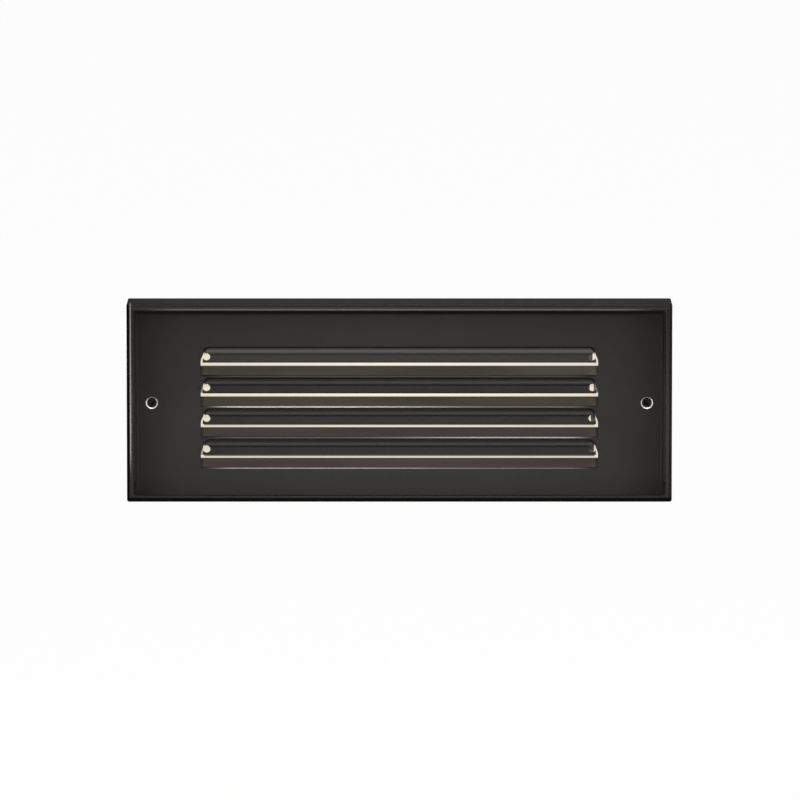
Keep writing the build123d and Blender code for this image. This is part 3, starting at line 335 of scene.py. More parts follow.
def edge_highlights_and_shade(coat):
    """Two masks: the painted edge highlights, and the painted shade on the sills' edges."""
    left_crest = coat.stripe(coat.x, LEFT_CREST_X, 0.38 * MM, 0.1 * MM)
    left_crest = left_crest * coat.step(coat.z, *LEFT_CREST_FADES_Z)
    top_crest = coat.stripe(coat.z, TOP_CREST_Z, 0.6 * MM, 0.1 * MM)
    top_crest = top_crest * coat.step(coat.wide, *TOP_CREST_FADES_X)
    highlit = coat.largest(left_crest * LEFT_CREST_HIGHLIGHT, top_crest * TOP_CREST_HIGHLIGHT)
    unlit_edges = 0.0
    for edge, (left, right) in zip(SILL_EDGES, SILL_EDGE_HIGHLIGHTS):
        # A painted highlight along each sill's edge, and painted shade where it fades.
        line = coat.stripe(coat.z, edge, 0.45 * MM, 0.12 * MM)
        line = line * coat.step(coat.wide, SLOTS_HALF, SLOTS_HALF - 2 * MM)
        share = coat.step(coat.x, *ROW_FROM_LEFT_TO_RIGHT_X) * (right - left) + left
        glint = line * share * coat.step(coat.wide, SLOTS_HALF, SLOTS_HALF - 14 * MM)
        highlit = coat.largest(highlit, glint)
        unlit_edges = coat.largest(unlit_edges, line * (1 - share) * 0.5)
    in_front = coat.step(coat.y, *FRONT_OF_PLATE_Y)
    return highlit * in_front, unlit_edges * in_front


print("the second row's rub goes from", *SILL_EDGE_HIGHLIGHTS[1])

# %% [markdown]
# A thin grey film lies on what faces up, partly dust and partly painted light from
# above: on the backs of the hoods, most of all on the top one, which no hood above
# shades, and on the rim's upper crest.

# %% Dust and painted light from above
TOP_HOOD_Z = (8 * MM, 18 * MM)
HOOD_DUST_AND_LIGHT = 0.22
TOP_HOOD_PAINTED_LIGHT = 0.25      # above that of the others
CREST_DUST_AND_LIGHT = 0.1


def dust_and_top_light(coat):
    """More on the hoods' backs than on the crest, and most on the top hood."""
    hood_back = coat.step(coat.y, FIELD_Y - 0.5 * MM, FIELD_Y - 1.3 * MM)
    hood_back = hood_back * coat.step(coat.y, HOOD_FRONT_Y + 0.2 * MM, HOOD_FRONT_Y + 0.8 * MM)
    hood_back = hood_back * coat.step(coat.high, ROWS_HALF + 3 * MM, ROWS_HALF + 1 * MM)
    hood_back = hood_back * coat.step(coat.wide, SLOTS_HALF + 9.4 * MM, SLOTS_HALF + 4.4 * MM)
    on_hoods = hood_back * (coat.step(coat.z, *TOP_HOOD_Z) * TOP_HOOD_PAINTED_LIGHT + HOOD_DUST_AND_LIGHT)
    on_crest = coat.step(coat.z, TOP_CREST_Z - 0.2 * MM, TOP_CREST_Z + 0.4 * MM)
    on_crest = on_crest * coat.step(coat.y, FIELD_Y - 0.1 * MM, FIELD_Y - 0.5 * MM)
    return coat.largest(on_hoods, on_crest * CREST_DUST_AND_LIGHT)


# %% [markdown]
# Painted shade turns the coat to black: the rim's shadow in the crease under its
# top and right sides, shade on the left and bottom outer edges, on the lips of the
# lower hoods and on the sills' edges without a highlight, and more and more shade
# towards the field's ends, where the front lamp's sheen fades. The crease itself is
# a small cove, a rise of the field towards the rim, which is a bump further on.

# %% Painted shade, and the cove under the rim
CREASE_TOP_Z = (36.9 * MM, 39.4 * MM)          # where each step starts and where it is full
CREASE_RIGHT_X = (112.0 * MM, 113.6 * MM)
CREASE_RIGHT_Z = (-30 * MM, 30 * MM)
LEFT_EDGE_X = (-116.1 * MM, -116.7 * MM)
BOTTOM_EDGE_Z = (-40.8 * MM, -41.8 * MM)
LOWER_HOODS_Z = (18 * MM, 15 * MM)
FIELD_ENDS_X = (92 * MM, 116 * MM)
FIELD_ENDS_Z = (30 * MM, 43 * MM)
COVE_FADES_Z = (-38 * MM, -34 * MM)
COVE_WIDTH = 2.0 * MM


def inside_rim(coat):
    """How far a point is from the rim's inner edge: the smaller of two distances."""
    from_side = PLATE_HALF[0] - RIM_WIDTH - coat.wide
    from_top = PLATE_HALF[1] - RIM_WIDTH - coat.high
    return coat.reckon("MINIMUM", from_side, from_top)


def rim_cove(coat, inside):
    """Rises over 2 mm to the rim's foot, and fades out along the bottom."""
    return coat.step(inside, COVE_WIDTH, 0.0) * coat.in_field * coat.step(coat.z, *COVE_FADES_Z)


def painted_shade(coat, inside, unlit_edges):
    """The largest of the shares of painted shade in all of these places."""
    beside_right = coat.step(coat.x, *CREASE_RIGHT_X) * coat.step(coat.z, *CREASE_RIGHT_Z)
    crease = coat.largest(coat.step(coat.z, *CREASE_TOP_Z), beside_right)
    crease = crease * coat.in_field * coat.step(inside, -0.2 * MM, 0.1 * MM)
    outer = coat.largest(coat.step(coat.x, *LEFT_EDGE_X), coat.step(coat.z, *BOTTOM_EDGE_Z))
    lip = coat.step(coat.y, HOOD_FRONT_Y + 0.6 * MM, HOOD_FRONT_Y + 0.2 * MM)
    lip = lip * coat.step(coat.z, *LOWER_HOODS_Z)
    ends = coat.step(coat.wide, *FIELD_ENDS_X) * 0.38 + coat.step(coat.high, *FIELD_ENDS_Z) * 0.2
    return coat.largest(crease * 0.6, lip * 0.45, outer * 0.85, ends * coat.in_field, unlit_edges)


# %% [markdown]
# The coat itself is the colour with a slow cloudiness and a fine speckle, under a
# thin gloss with the dimples that powder dries to. The masks go over it one after
# another. Painted shade is black metal, which gives back no light at all, because
# the coat's gloss is the same number all over and can't be turned down in places,
# and painted highlights are a lighter metal. The skirt's sides stayed rougher, and
# the bare cones are a little smoother and partly in shade.

# %% Powder coat
SILL_GLOW_TURNS_Z = (12 * MM, -8 * MM)                # where each step starts and where it is full
CONE_SHADE_Z = (0.8 * MM, 2.4 * MM)
DIMPLE_DEPTH = 0.05                            # as a share of the cove's
COVE_DEPTH = 0.7 * MM


def shade_of_coat(coat, speckle, cloud):
    """Clouds and speckle, and in the slots the painted glow of the lens, in streaks."""
    shade = coat.blend(coat.step(cloud, 0.35, 0.65), tint(COAT, 0.85), tint(COAT, 1.18))
    shade = coat.blend(coat.step(speckle, 0.62, 0.72) * 0.25, shade, tint(COAT, 2.2))
    streaks = coat.noise(9 * MM, detail=3.0, stretch=(0.12, 1, 1))
    # Painted light: the lens's warm glow on the sills, olive above and red brown below, in streaks.
    sill_glow = coat.blend(coat.step(coat.z, *SILL_GLOW_TURNS_Z), GLOW_ON_UPPER_SILLS, GLOW_ON_LOWER_SILLS)
    sill_glow = coat.blend(coat.step(streaks, 0.3, 0.7) * 0.5, sill_glow, tint(GLOW_ON_LOWER_SILLS, 0.5))
    return coat.blend(slot_insides(coat), shade, sill_glow)


def powder_coat():
    """The coat, with each mask blended over what lies under it."""
    coat = CoverCoat("powder_coat", IOR=1.45, Specular_IOR_Level=0.17)
    cloud = coat.noise(22 * MM, detail=3.0)
    speckle = coat.noise(0.35 * MM, detail=1.0)
    inside = inside_rim(coat)
    bare = bare_cones(coat)
    highlit, unlit_edges = edge_highlights_and_shade(coat)
    shade_mask = painted_shade(coat, inside, unlit_edges)
    skirt = coat.step(coat.y, FIELD_Y - 0.2 * MM, FIELD_Y + 0.5 * MM)
    # Dust and painted light from above on the hoods' backs and the crest.
    shade = coat.blend(dust_and_top_light(coat), shade_of_coat(coat, speckle, cloud), DUST_AND_TOP_LIGHT)
    # Painted shade: black wherever the shade mask says.
    shade = coat.blend(shade_mask, shade, BLACK)
    # Painted highlights along the crest and the sills' edges.
    shade = coat.blend(highlit, shade, PAINTED_HIGHLIGHT)
    marks = coat.step(coat.noise(1.6 * MM), 0.54, 0.66) * 0.7
    shaded_metal = coat.largest(coat.step(coat.z, *CONE_SHADE_Z), marks)
    cone = coat.blend(shaded_metal, BARE_METAL, tint(BARE_METAL, 0.3))
    coat.wire(Base_Color=coat.blend(bare, shade, cone))
    coat.wire(Metallic=coat.largest(bare, highlit, shade_mask))
    coat.wire(Roughness=coat.step(cloud, 0.3, 0.7) * 0.04 + 0.35 + skirt * 0.4 - bare * 0.1)
    dimples = coat.noise(0.9 * MM, detail=2.0) * 0.8 + speckle * 0.2
    coat.bump(dimples * DIMPLE_DEPTH + rim_cove(coat, inside), 1.0, COVE_DEPTH)
    return coat.material


cover_coat = powder_coat()
print("powder coat:", len(cover_coat.node_tree.nodes), "nodes")

# %% [markdown]
# ## The glowing lens
#
# Behind the slots stands a pane of sandblasted glass, lit from behind by a small
# lamp. Sandblasting spreads the light, so the pane itself seems to shine, most of
# all near the lamp. Real light through frosted glass would need many samples, so
# it is drawn as a surface that gives off a warm white light, which falls off gently
# towards the ends and the bottom. A strength near 1 keeps it just under white.
#
# The glow isn't even behind the slots' ends and the lower rows. DARK_PATCHES lists
# where the pane's front is painted in shade instead of glow: the row, from and to
# sideways, from and to above that row's sill, in millimetres, and the share of dark.

# %% Sandblasted glass
GLOW_MIDDLE = (0.80, 0.71, 0.56)
GLOW_EDGE = (0.66, 0.58, 0.46)
GLASS = (0.14, 0.135, 0.12)
GLASS_DARK = (0.02, 0.018, 0.015)
GLOW_CENTRE_Z = 10 * MM
GLOW_REACH = (110 * MM, 45 * MM)
PANE_FRONT_Y = (-11.6 * MM, -12.4 * MM)
DARK_PATCHES = (
    (0, 80.7, 83.2, 1.45, 5.7, 1.0),
    (1, 80.7, 82.0, 1.45, 5.7, 1.0),
    (1, 83.7, 86.5, 1.45, 5.7, 0.9),
    (2, 82.5, 84.5, 1.45, 5.7, 1.0),
    (3, 80.7, 83.9, 1.45, 5.7, 1.0),
    (1, -86.5, -84.6, 1.45, 5.7, 0.8),
    (3, -86.5, -84.7, 1.0, 5.7, 0.6),
    (2, -84.2, 84.2, 0.65, 1.5, 0.85),
    (3, -84.2, 84.2, 0.5, 1.5, 0.85),
)


def sandblasted_glass():
    """The glow falls off with an oval's radius: the root of (x/a) squared plus (z/b) squared."""
    pane = Finish("sandblasted_glass", IOR=1.5, Emission_Strength=1.0)
    x, y, z = (pane.along(axis) for axis in "XYZ")
    from_lamp = ((x / GLOW_REACH[0]) ** 2.0 + ((z - GLOW_CENTRE_Z) / GLOW_REACH[1]) ** 2.0) ** 0.5
    glow = pane.blend(pane.step(from_lamp, 0.0, 1.0), GLOW_MIDDLE, GLOW_EDGE)
    dark = 0.0
    for row, left, right, low, high, share in DARK_PATCHES:
        across = pane.between(x, left * MM, right * MM, 0.1 * MM)
        up = pane.between(z, SILLS[row] + low * MM, SILLS[row] + high * MM, 0.15 * MM)
        dark = pane.largest(dark, across * up * share)
    dark = dark * pane.step(y, *PANE_FRONT_Y)
    pits = pane.noise(0.25 * MM, detail=2.0)
    pane.wire(Base_Color=pane.blend(dark, GLASS, GLASS_DARK))
    pane.wire(Emission_Color=pane.blend(dark, glow, GLASS_DARK))
    pane.wire(Roughness=pits * 0.2 + 0.5)
    pane.bump(pits, 0.3, 0.02 * MM)
    return pane.material


glowing_pane = sandblasted_glass()
print("pane:", len(DARK_PATCHES), "dark patches")

# %% [markdown]
# ## Metals
#
# All bare metals share one recipe: a metal colour, a roughness that wanders a
# little, and a bump that shows how the piece was made. Castings have a pebbly skin
# from the mould, half covered by dull oxide. Rolled sheet has fine lines one way.
# Turned and plated pieces are nearly smooth, with small stains. So one function
# makes them all from their colour, their roughness and the size, depth and
# direction of their grain.

# %% Castings, sheet and turned metal
def metal(name, colour, roughness, grain, deep, stretch=(1, 1, 1), metallic=1.0):
    """A metal whose stains and grain darken it a little and wander in its roughness."""
    finish = Finish(name, Metallic=metallic)
    lumps = finish.noise(grain, detail=3.0, stretch=stretch)
    stain = finish.noise(9 * MM, detail=4.0)
    shade = finish.blend(finish.step(stain, 0.38, 0.7), tint(colour, 1.03), tint(colour, 0.9))
    shade = finish.blend(lumps * 0.35, shade, tint(colour, 0.72))
    finish.wire(Base_Color=shade, Roughness=lumps * 0.14 + stain * 0.05 + (roughness - 0.08))
    finish.bump(lumps, 0.3, deep)
    return finish.material


ALUMINIUM = (0.43, 0.43, 0.425)
cast_aluminium = metal("cast_aluminium", ALUMINIUM, 0.62, 1.1 * MM, 0.12 * MM, metallic=0.5)
bright_sheet = metal("bright_sheet", (0.86, 0.86, 0.87), 0.2, 0.25 * MM, 0.01 * MM, (0.03, 1, 1))
stainless = metal("stainless", (0.52, 0.51, 0.50), 0.3, 0.3 * MM, 0.01 * MM, (0.1, 1, 1))
brass = metal("brass", (0.72, 0.52, 0.24), 0.3, 0.3 * MM, 0.01 * MM)
zinc = metal("zinc", (0.62, 0.63, 0.62), 0.34, 0.5 * MM, 0.01 * MM)
blackened_steel = metal("blackened_steel", (0.007, 0.0065, 0.0065), 0.42, 0.4 * MM, 0.01 * MM)
tungsten = metal("tungsten", (0.35, 0.33, 0.30), 0.4, 0.1 * MM, 0.005 * MM)
print("metals done, materials so far:", len(bpy.data.materials))

# %% [markdown]
# ## Rubber, plastic and ceramic
#
# These don't conduct, and differ in colour, in sheen and in the grain of their
# skin. Foam is full of small cells, moulded silicone is matt with a faint bloom,
# plastic has the fine texture of a spark-eroded mould, and glazed ceramic is smooth
# with soft waves. One function covers them.

# %% Everything moulded
def moulded(name, colour, roughness, grain, deep, bloom=1.25):
    """A plain colour with paler patches, a darker grain and the bump of its skin."""
    finish = Finish(name)
    skin = finish.noise(grain, detail=2.0)
    patches = finish.noise(12 * MM, detail=3.0)
    shade = finish.blend(finish.step(patches, 0.35, 0.7), tint(colour, 0.88), tint(colour, bloom))
    finish.wire(Base_Color=finish.blend(skin * 0.3, shade, tint(colour, 0.75)))
    finish.wire(Roughness=patches * 0.12 + skin * 0.08 + (roughness - 0.1))
    finish.bump(skin, 0.35, deep)
    return finish.material


grey_silicone = moulded("grey_silicone", (0.27, 0.27, 0.265), 0.62, 0.3 * MM, 0.02 * MM)
foam = moulded("foam", (0.022, 0.022, 0.023), 0.85, 0.5 * MM, 0.2 * MM, bloom=1.8)
nylon = moulded("nylon", (0.72, 0.69, 0.60), 0.45, 0.4 * MM, 0.01 * MM, bloom=1.06)
ceramic = moulded("ceramic", (0.80, 0.78, 0.72), 0.25, 1.4 * MM, 0.02 * MM, bloom=1.05)
grey_plastic = moulded("grey_plastic", (0.36, 0.37, 0.38), 0.5, 0.3 * MM, 0.02 * MM, bloom=1.12)
red_rubber = moulded("red_rubber", (0.30, 0.045, 0.03), 0.6, 0.3 * MM, 0.02 * MM)
green_dye = moulded("green_dye", (0.03, 0.20, 0.07), 0.35, 0.5 * MM, 0.01 * MM)
black_sleeve = moulded("black_sleeve", (0.022, 0.022, 0.023), 0.5, 0.2 * MM, 0.01 * MM)
white_sleeve = moulded("white_sleeve", (0.74, 0.73, 0.70), 0.5, 0.2 * MM, 0.01 * MM, bloom=1.05)
print("moulded finishes done, materials so far:", len(bpy.data.materials))

# %% [markdown]
# ## Clear glass
#
# The lamp is a small quartz capsule. Quartz is clear and smooth, and its pinched
# foot is a little wavy. Light goes through it, so the shader's transmission is
# full and only the roughness and the bump carry the waviness.

# %% Quartz
def quartz():
    """Clear glass whose slow waves tint it, roughen it a little and bend it."""
    glass = Finish("quartz", IOR=1.46, Transmission_Weight=1.0)
    waves = glass.noise(2.5 * MM, detail=1.0)
    glass.wire(Base_Color=glass.blend(waves, (0.97, 0.97, 0.98), (0.90, 0.91, 0.93)))
    glass.wire(Roughness=waves * 0.04)
    glass.bump(waves, 0.15, 0.05 * MM)
    return glass.material


lamp_glass = quartz()
print("quartz:", len(lamp_glass.node_tree.nodes), "nodes")

# %% [markdown]
# ## Dress the frame
#
# Each node of the construction model gets the finish of the material that it is
# made of. A node's mesh is left alone: only its material slots are filled.

# %% Give every node its finish
FINISHES = {
    "black_powder_coat": cover_coat,
    "cast_aluminium": cast_aluminium,
    "frosted_glass": glowing_pane,
    "grey_silicone": grey_silicone,
    "black_foam": foam,
    "stainless": stainless,
    "black_steel": blackened_steel,
    "natural_nylon": nylon,
    "yellow_brass": brass,
    "bright_aluminium": bright_sheet,
    "zinc_plate": zinc,
    "white_ceramic": ceramic,
    "clear_glass": lamp_glass,
    "tungsten": tungsten,
    "grey_plastic": grey_plastic,
    "black_sleeve": black_sleeve,
    "white_sleeve": white_sleeve,
    "red_rubber": red_rubber,
    "green_screw": green_dye,
}
slots = {part["node"]: part["material_slot"] for part in frame["record"]["subparts"]}
for name, node in nodes.items():
    node.data.materials.clear()
    node.data.materials.append(FINISHES[slots[name]])
print("dressed", len(slots), "nodes in", len(FINISHES), "finishes")

# %% [markdown]
# ## Fine forms that a plain solid leaves out
#
# Three kinds of piece get their true form here: the faceplate's screws with their
# threads and hexagon sockets, the thread in the conduit hub at the back, and the
# lamp's coiled filament. Each is one surface with two parameters: u runs along it
# and v runs round it, and a formula gives the point. The surface becomes a mesh by
# joining each point to its neighbours, with no loop over points. A surface with
# two ends gets a cap on each, and a ring is joined to itself instead.

# %% From a grid of points to a mesh
def grid_faces(rows, columns, offset=0, ring=False):
    """Four-sided faces between neighbouring points, then the two caps if there are ends."""
    joins = rows if ring else rows - 1
    row, column = np.meshgrid(np.arange(joins), np.arange(columns), indexing="ij")
    right, below = (column + 1) % columns, (row + 1) % rows
    corners = [(row, column), (row, right), (below, right), (below, column)]
    quads = offset + np.stack([(down * columns + over).ravel() for down, over in corners], axis=1)
    start = offset + np.arange(columns)
    caps = [] if ring else [start[::-1].tolist(), (start + (rows - 1) * columns).tolist()]
    return quads.tolist() + caps


def lathe(radius, along, columns):
    """Points round the Y axis: radius times the cosine and the sine of the angle.

    radius and along are profiles, or grids that vary round the axis too.
    """
    angle = np.linspace(0, 2 * np.pi, columns, endpoint=False)
    radius = np.broadcast_to(np.reshape(radius, (len(along), -1)), (len(along), columns))
    depth = np.broadcast_to(np.reshape(along, (len(along), -1)), radius.shape)
    return np.stack([radius * np.cos(angle), depth, radius * np.sin(angle)], axis=-1)


def smooth_mesh(name, points, faces, finish, sharp_degrees):
    """A mesh object in the place that its points give, smooth but for its sharp edges."""
    mesh = bpy.data.meshes.new(name)
    mesh.from_pydata(points.reshape(-1, 3).tolist(), [], faces)
    mesh.materials.append(finish)
    mesh.polygons.foreach_set("use_smooth", np.ones(len(mesh.polygons), dtype=bool))
    mesh.set_sharp_from_angle(angle=math.radians(sharp_degrees))
    piece = bpy.data.objects.new(name, mesh)
    bpy.context.scene.collection.objects.link(piece)
    print(name, len(mesh.vertices), "points,", len(faces), "faces")
    return piece


# %% [markdown]
# ### Threaded screws
#
# A thread is a groove whose depth depends on one number, the phase: how many
# turns of the helix lie between a point and the start. On a screw the phase is
# the depth divided by the pitch, less the angle divided by a full turn. The
# height of the thread is a triangle wave of the phase, with its crest and its
# root cut flat.

# %% The thread's wave
def thread_wave(phase):
    """1 on the crest and 0 in the root: a triangle wave with both ends cut flat."""
    wave = np.abs((phase % 1.0) * 2 - 1)
    return np.clip((wave - 0.14) / 0.66, 0, 1)


print("thread's height over one turn:", thread_wave(np.linspace(0, 1, 5)).round(2).tolist())

# %% [markdown]
# The crest is the shank of the construction model, so the thread only ever cuts
# inwards. The socket's hexagon is a radius that depends on the angle: the distance
# to a flat side divided by the cosine of the angle from the side's middle. The
# profile runs from the tip to the socket's floor, which makes the faces point
# outwards.

# %% A screw from its head to its tip
SCREW_TOP = FIELD_Y + 0.65 * MM
SCREW_TIP = 8.0 * MM
HEAD_RADIUS = 2.2 * MM
SHANK_RADIUS = 1.5 * MM
THREAD_PITCH = 0.7 * MM
THREAD_DEPTH = 0.38 * MM
THREAD_START = -9.0 * MM
SOCKET_FLAT = 1.0 * MM
SOCKET_DEPTH = 1.1 * MM
POINT_LENGTH = 0.6 * MM
TINY = 1e-5


def screw_shank(angle):
    """The radius at each depth and angle: the crest less the groove, and tapered at the tip."""
    depth = np.arange(THREAD_START, SCREW_TIP, THREAD_PITCH / 10)
    wave = thread_wave(depth[:, None] / THREAD_PITCH - angle[None, :] / (2 * np.pi))
    run_in = np.clip((depth - THREAD_START) / THREAD_PITCH, 0, 1)
    point = np.clip((SCREW_TIP - depth) / POINT_LENGTH, 0, 1)
    cut = THREAD_DEPTH * run_in[:, None] * (1 - wave)
    tapered = SHANK_RADIUS - THREAD_DEPTH * 1.3 * (1 - point)
    return depth, np.minimum(SHANK_RADIUS - cut, tapered[:, None])


def threaded_screw(name, x, columns=48):
    """Socket floor, hexagon, head, neck, thread and tip, as one profile turned round the axis."""
    angle = np.linspace(0, 2 * np.pi, columns, endpoint=False)
    hexagon = SOCKET_FLAT / np.cos((angle + np.pi / 6) % (np.pi / 3) - np.pi / 6)
    ones = np.ones(columns)
    neck = SCREW_TOP + HEAD_RADIUS - SHANK_RADIUS
    floor = SCREW_TOP + SOCKET_DEPTH
    head = [(0.02 * hexagon, floor + 0.25 * MM), (hexagon, floor), (hexagon, SCREW_TOP + 0.06 * MM),
            (hexagon * 1.05, SCREW_TOP), ((HEAD_RADIUS - 0.08 * MM) * ones, SCREW_TOP),
            (HEAD_RADIUS * ones, SCREW_TOP + 0.05 * MM), (SHANK_RADIUS * ones, neck),
            (SHANK_RADIUS * ones, THREAD_START - THREAD_PITCH)]
    depth, shank = screw_shank(angle)
    end = SCREW_TIP - TINY
    tip = [0.75 * SHANK_RADIUS * ones, TINY * ones]
    radii = np.concatenate([np.array([radius for radius, _ in head]), shank, tip])
    along = np.concatenate([[place for _, place in head], depth, [end, end]])
    points = lathe(radii[::-1], along[::-1], columns) + [x, 0, 0]
    return smooth_mesh(name, points, grid_faces(len(along), columns), blackened_steel, 30)


for side, label in ((-1, "left"), (1, "right")):
    screw = threaded_screw("threaded_screw_" + label, side * SCREW_X)
    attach(screw, "screw_" + label)
    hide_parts("faceplate_screw_" + label)

# %% [markdown]
# ### The conduit hub's thread
#
# The hub's bore in the construction model has the thread's largest radius. A ring
# inside it carries the thread inwards, with the same wave, 14 threads to the inch.
# The ring's outside is buried in the bore's wall, so only its inside shows.

# %% Thread in the rear hub
HUB_X = 58.0 * MM
HUB_RADIUS = 10.4 * MM
HUB_START = 61.4 * MM
HUB_END = 74.6 * MM
HUB_PITCH = 25.4 * MM / 14
HUB_THREAD_DEPTH = 0.85 * MM


def hub_thread(columns=96):
    """A thin ring: outside, threaded inside and outside again, closed on itself."""
    angle = np.linspace(0, 2 * np.pi, columns, endpoint=False)
    depth = np.linspace(HUB_START, HUB_END, 96)
    wave = thread_wave(depth[:, None] / HUB_PITCH - angle[None, :] / (2 * np.pi))
    ends = np.clip(np.minimum(depth - HUB_START, HUB_END - depth) / HUB_PITCH, 0, 1)
    inner = HUB_RADIUS - 0.02 * MM - HUB_THREAD_DEPTH * wave * ends[:, None]
    outer = np.full((1, columns), HUB_RADIUS - 0.01 * MM)
    radii = np.concatenate([outer, inner, outer])
    along = np.concatenate([[HUB_START], depth, [HUB_END]])
    points = lathe(radii, along, columns) + [HUB_X, 0, 0]
    faces = grid_faces(len(along), columns, ring=True)
    return smooth_mesh("hub_thread", points, faces, cast_aluminium, 30)


thread = hub_thread()
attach(thread, "box")

# %% [markdown]
# ### The filament
#
# The filament is a thin wire wound into a coil of many turns between two straight
# legs. The middle of the wire is a helix, and the wire's surface is a small circle
# carried along it. The circle lies in the plane of two directions that are both
# square to the wire: one points away from the coil's axis, and the other is the
# cross product of that one and the wire's direction.

# %% A tube along a path
def tube(path, outward, radius, columns=10):
    """Circles of the radius along the path, each square to it."""
    ahead = np.gradient(path, axis=0)
    ahead /= np.linalg.norm(ahead, axis=1, keepdims=True)
    outward = outward - ahead * np.sum(outward * ahead, axis=1, keepdims=True)
    outward /= np.linalg.norm(outward, axis=1, keepdims=True)
    across = np.cross(ahead, outward)
    angle = np.linspace(0, 2 * np.pi, columns, endpoint=False)[None, :, None]
    ring = outward[:, None] * np.cos(angle) + across[:, None] * np.sin(angle)
    return path[:, None] + radius * ring


# %% [markdown]
# The coil stands in the middle of the lamp's capsule, square to the lamp's length,
# and each leg ends at one end of the coil. The three tubes become one piece, whose
# faces count on from tube to tube.

# %% Coil and legs of the filament
LAMP_X = -14.0 * MM
LAMP_Y = 21.0 * MM
COIL_X = LAMP_X + 21.0 * MM
COIL_HALF = 3.0 * MM
COIL_TURNS = 15
COIL_RADIUS = 0.55 * MM
WIRE_RADIUS = 0.11 * MM
LEG_Z = 2.6 * MM
LEG_START = LAMP_X + 9.5 * MM
LEG_RADIUS = 0.28 * MM
LEG_POINTS = 12


def filament():
    """The coil along Z, with both legs, as three tubes in one mesh."""
    turn = np.linspace(0, COIL_TURNS * 2 * np.pi, COIL_TURNS * 20)
    away = np.stack([np.cos(turn), np.sin(turn), np.zeros_like(turn)], axis=1)
    path = away * COIL_RADIUS + [COIL_X, LAMP_Y, 0]
    path[:, 2] = np.linspace(-COIL_HALF, COIL_HALF, len(turn))
    parts = [tube(path, away, WIRE_RADIUS)]
    for side in (-1, 1):
        ends = [[x, LAMP_Y, side * LEG_Z] for x in (LEG_START, COIL_X)]
        leg = np.linspace(*ends, LEG_POINTS)
        parts.append(tube(leg, np.tile([0, 0, 1.0], (LEG_POINTS, 1)), LEG_RADIUS))
    faces, start = [], 0
    for part in parts:
        faces += grid_faces(part.shape[0], part.shape[1], start)
        start += part.shape[0] * part.shape[1]
    points = np.concatenate([part.reshape(-1, 3) for part in parts])
    return smooth_mesh("coiled_filament", points, faces, tungsten, 60)


wire = filament()
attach(wire, "lamp")
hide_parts("lamp_filament")

# %% [markdown]
# ## Floor and room
#
# The photograph shows the light on plain white. More light would wash the object
# out, so the white comes from what a ray is: where the camera, a reflection or a
# look through glass meets the floor or the room, it sees plain white, and all other
# light meets a pale floor and a dim room. Reflections see the white a little dimmer
# than the camera does, which keeps the black coat black.

# %% White for the camera
GLOSS_SHARE = 0.45
WHITE_SHARE = 0.96


def seen_as_white(nodes):
    """1 for the camera and through glass, GLOSS_SHARE in reflections, 0 for other light."""
    kinds = ("Is Camera Ray", "Is Glossy Ray", "Is Transmission Ray")
    to_camera, to_gloss, through_glass = (
        nodes.add("ShaderNodeLightPath", {}, {}, kind) for kind in kinds)
    return nodes.largest(to_camera, to_gloss * GLOSS_SHARE, through_glass)


# %% [markdown]
# The floor lies well below the light and reaches back as far as the camera sees, so
# it is the whole background. A share of its own pale colour stays in the mix, and
# so it still takes the light's shadow.

# %% Pale floor
FLOOR_Z = -0.26
FLOOR_REACH = 30.0
FLOOR_WHITE = (1.0, 1.0, 0.998)


def pale_floor():
    """A pale surface that is WHITE_SHARE plain white to the camera, to gloss and to glass."""
    finish = Finish("pale_floor", Base_Color=(0.82, 0.82, 0.82), Roughness=0.9)
    glow = finish.add("ShaderNodeEmission", {}, {"Color": FLOOR_WHITE, "Strength": 1.0})
    own = Wire(finish, finish.shader.outputs[0])
    mix = {0: seen_as_white(finish) * WHITE_SHARE, 1: own, 2: glow}
    both = finish.add("ShaderNodeMixShader", {}, mix)
    finish.fill(finish.tree.nodes["Material Output"].inputs["Surface"], both)
    return finish.material


def flat_sheet(name, corners, material):
    """A sheet of one face, which is staging and no part of the light."""
    mesh = bpy.data.meshes.new(name)
    mesh.from_pydata(corners.tolist(), [], [(0, 1, 2, 3)])
    mesh.materials.append(material)
    sheet = bpy.data.objects.new(name, mesh)
    bpy.context.scene.collection.objects.link(sheet)
    print(name, 2 * FLOOR_REACH, "m wide at height", FLOOR_Z)


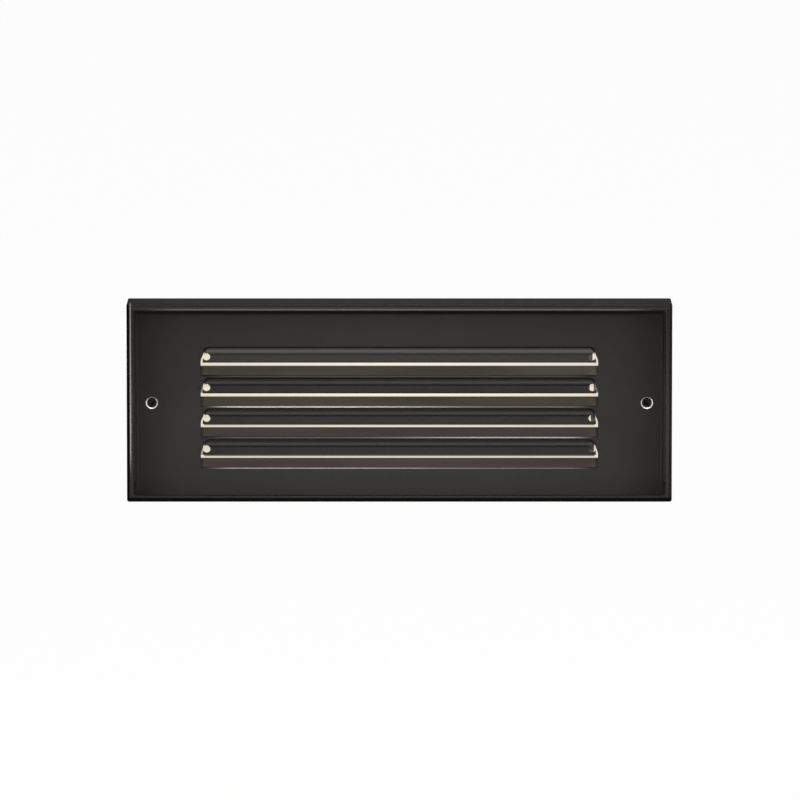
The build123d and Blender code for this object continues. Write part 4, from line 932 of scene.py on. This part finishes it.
FLOOR_CORNERS = np.array([[-1, -1, 0], [1, -1, 0], [1, 1, 0], [-1, 1, 0]]) * FLOOR_REACH
flat_sheet("floor", FLOOR_CORNERS + [0, 0, FLOOR_Z], pale_floor())


# %% [markdown]
# The room beyond the floor is the same white, but lights the object only softly.
# Its nodes are a tree round a Background shader, so the class that serves the
# materials serves here as well.

# %% White room
WORLD_LIGHT = 0.3
ROOM_WHITE = 0.96

world = bpy.data.worlds.new("room")
bpy.context.scene.world = world
world.use_nodes = True
room = Nodes(world.node_tree, "Background", Color=(0.97, 0.98, 1.0))
room.wire(Strength=seen_as_white(room) * (ROOM_WHITE - WORLD_LIGHT) + WORLD_LIGHT)
print("the room lights with", WORLD_LIGHT, "and looks", ROOM_WHITE)

# %% [markdown]
# ## Lamps
#
# The photograph has soft light from above: the cover's top face and the rim's crest
# are light, and the rim leaves a dark crease under itself. So a large lamp hangs
# almost straight overhead, a little to the right. A second lamp is a narrow strip
# low and close in front. The satin coat smears its reflection over the field, which
# makes the middle of the cover lighter than its ends.

# %% Soft lamps
def soft_lamp(name, place, towards, size, watts, colour=(1, 1, 1)):
    """An oblong lamp at a place, turned to a point and hidden from the camera.

    The aim's drop gives the tilt from straight down, and its heading gives the turn.
    """
    data = bpy.data.lights.new(name, "AREA")
    data.shape = "RECTANGLE"
    data.size, data.size_y = size
    data.energy = watts
    data.color = colour
    lamp = bpy.data.objects.new(name, data)
    bpy.context.scene.collection.objects.link(lamp)
    lamp.location = place
    aim = np.array(towards) - np.array(place)
    level = math.hypot(aim[0], aim[1])
    lamp.rotation_euler = (math.atan2(level, -aim[2]), 0, math.atan2(aim[1], aim[0]) - math.pi / 2)
    lamp.visible_camera = False
    print(name, watts, "W,", round(float(np.linalg.norm(aim)), 2), "m away")


soft_lamp("key_lamp", (0.2, -0.05, 1.25), (0, 0, 0), (1.3, 0.9), 20)
soft_lamp("front_lamp", (0.0, -0.22, -0.045), (0, 0, -0.009), (0.25, 0.02), 0.42, (1.0, 0.97, 0.93))

# %% [markdown]
# ## Finish
#
# The view keeps colours as they are.

# %% Keep colours as they are
bpy.context.scene.view_settings.view_transform = "Standard"
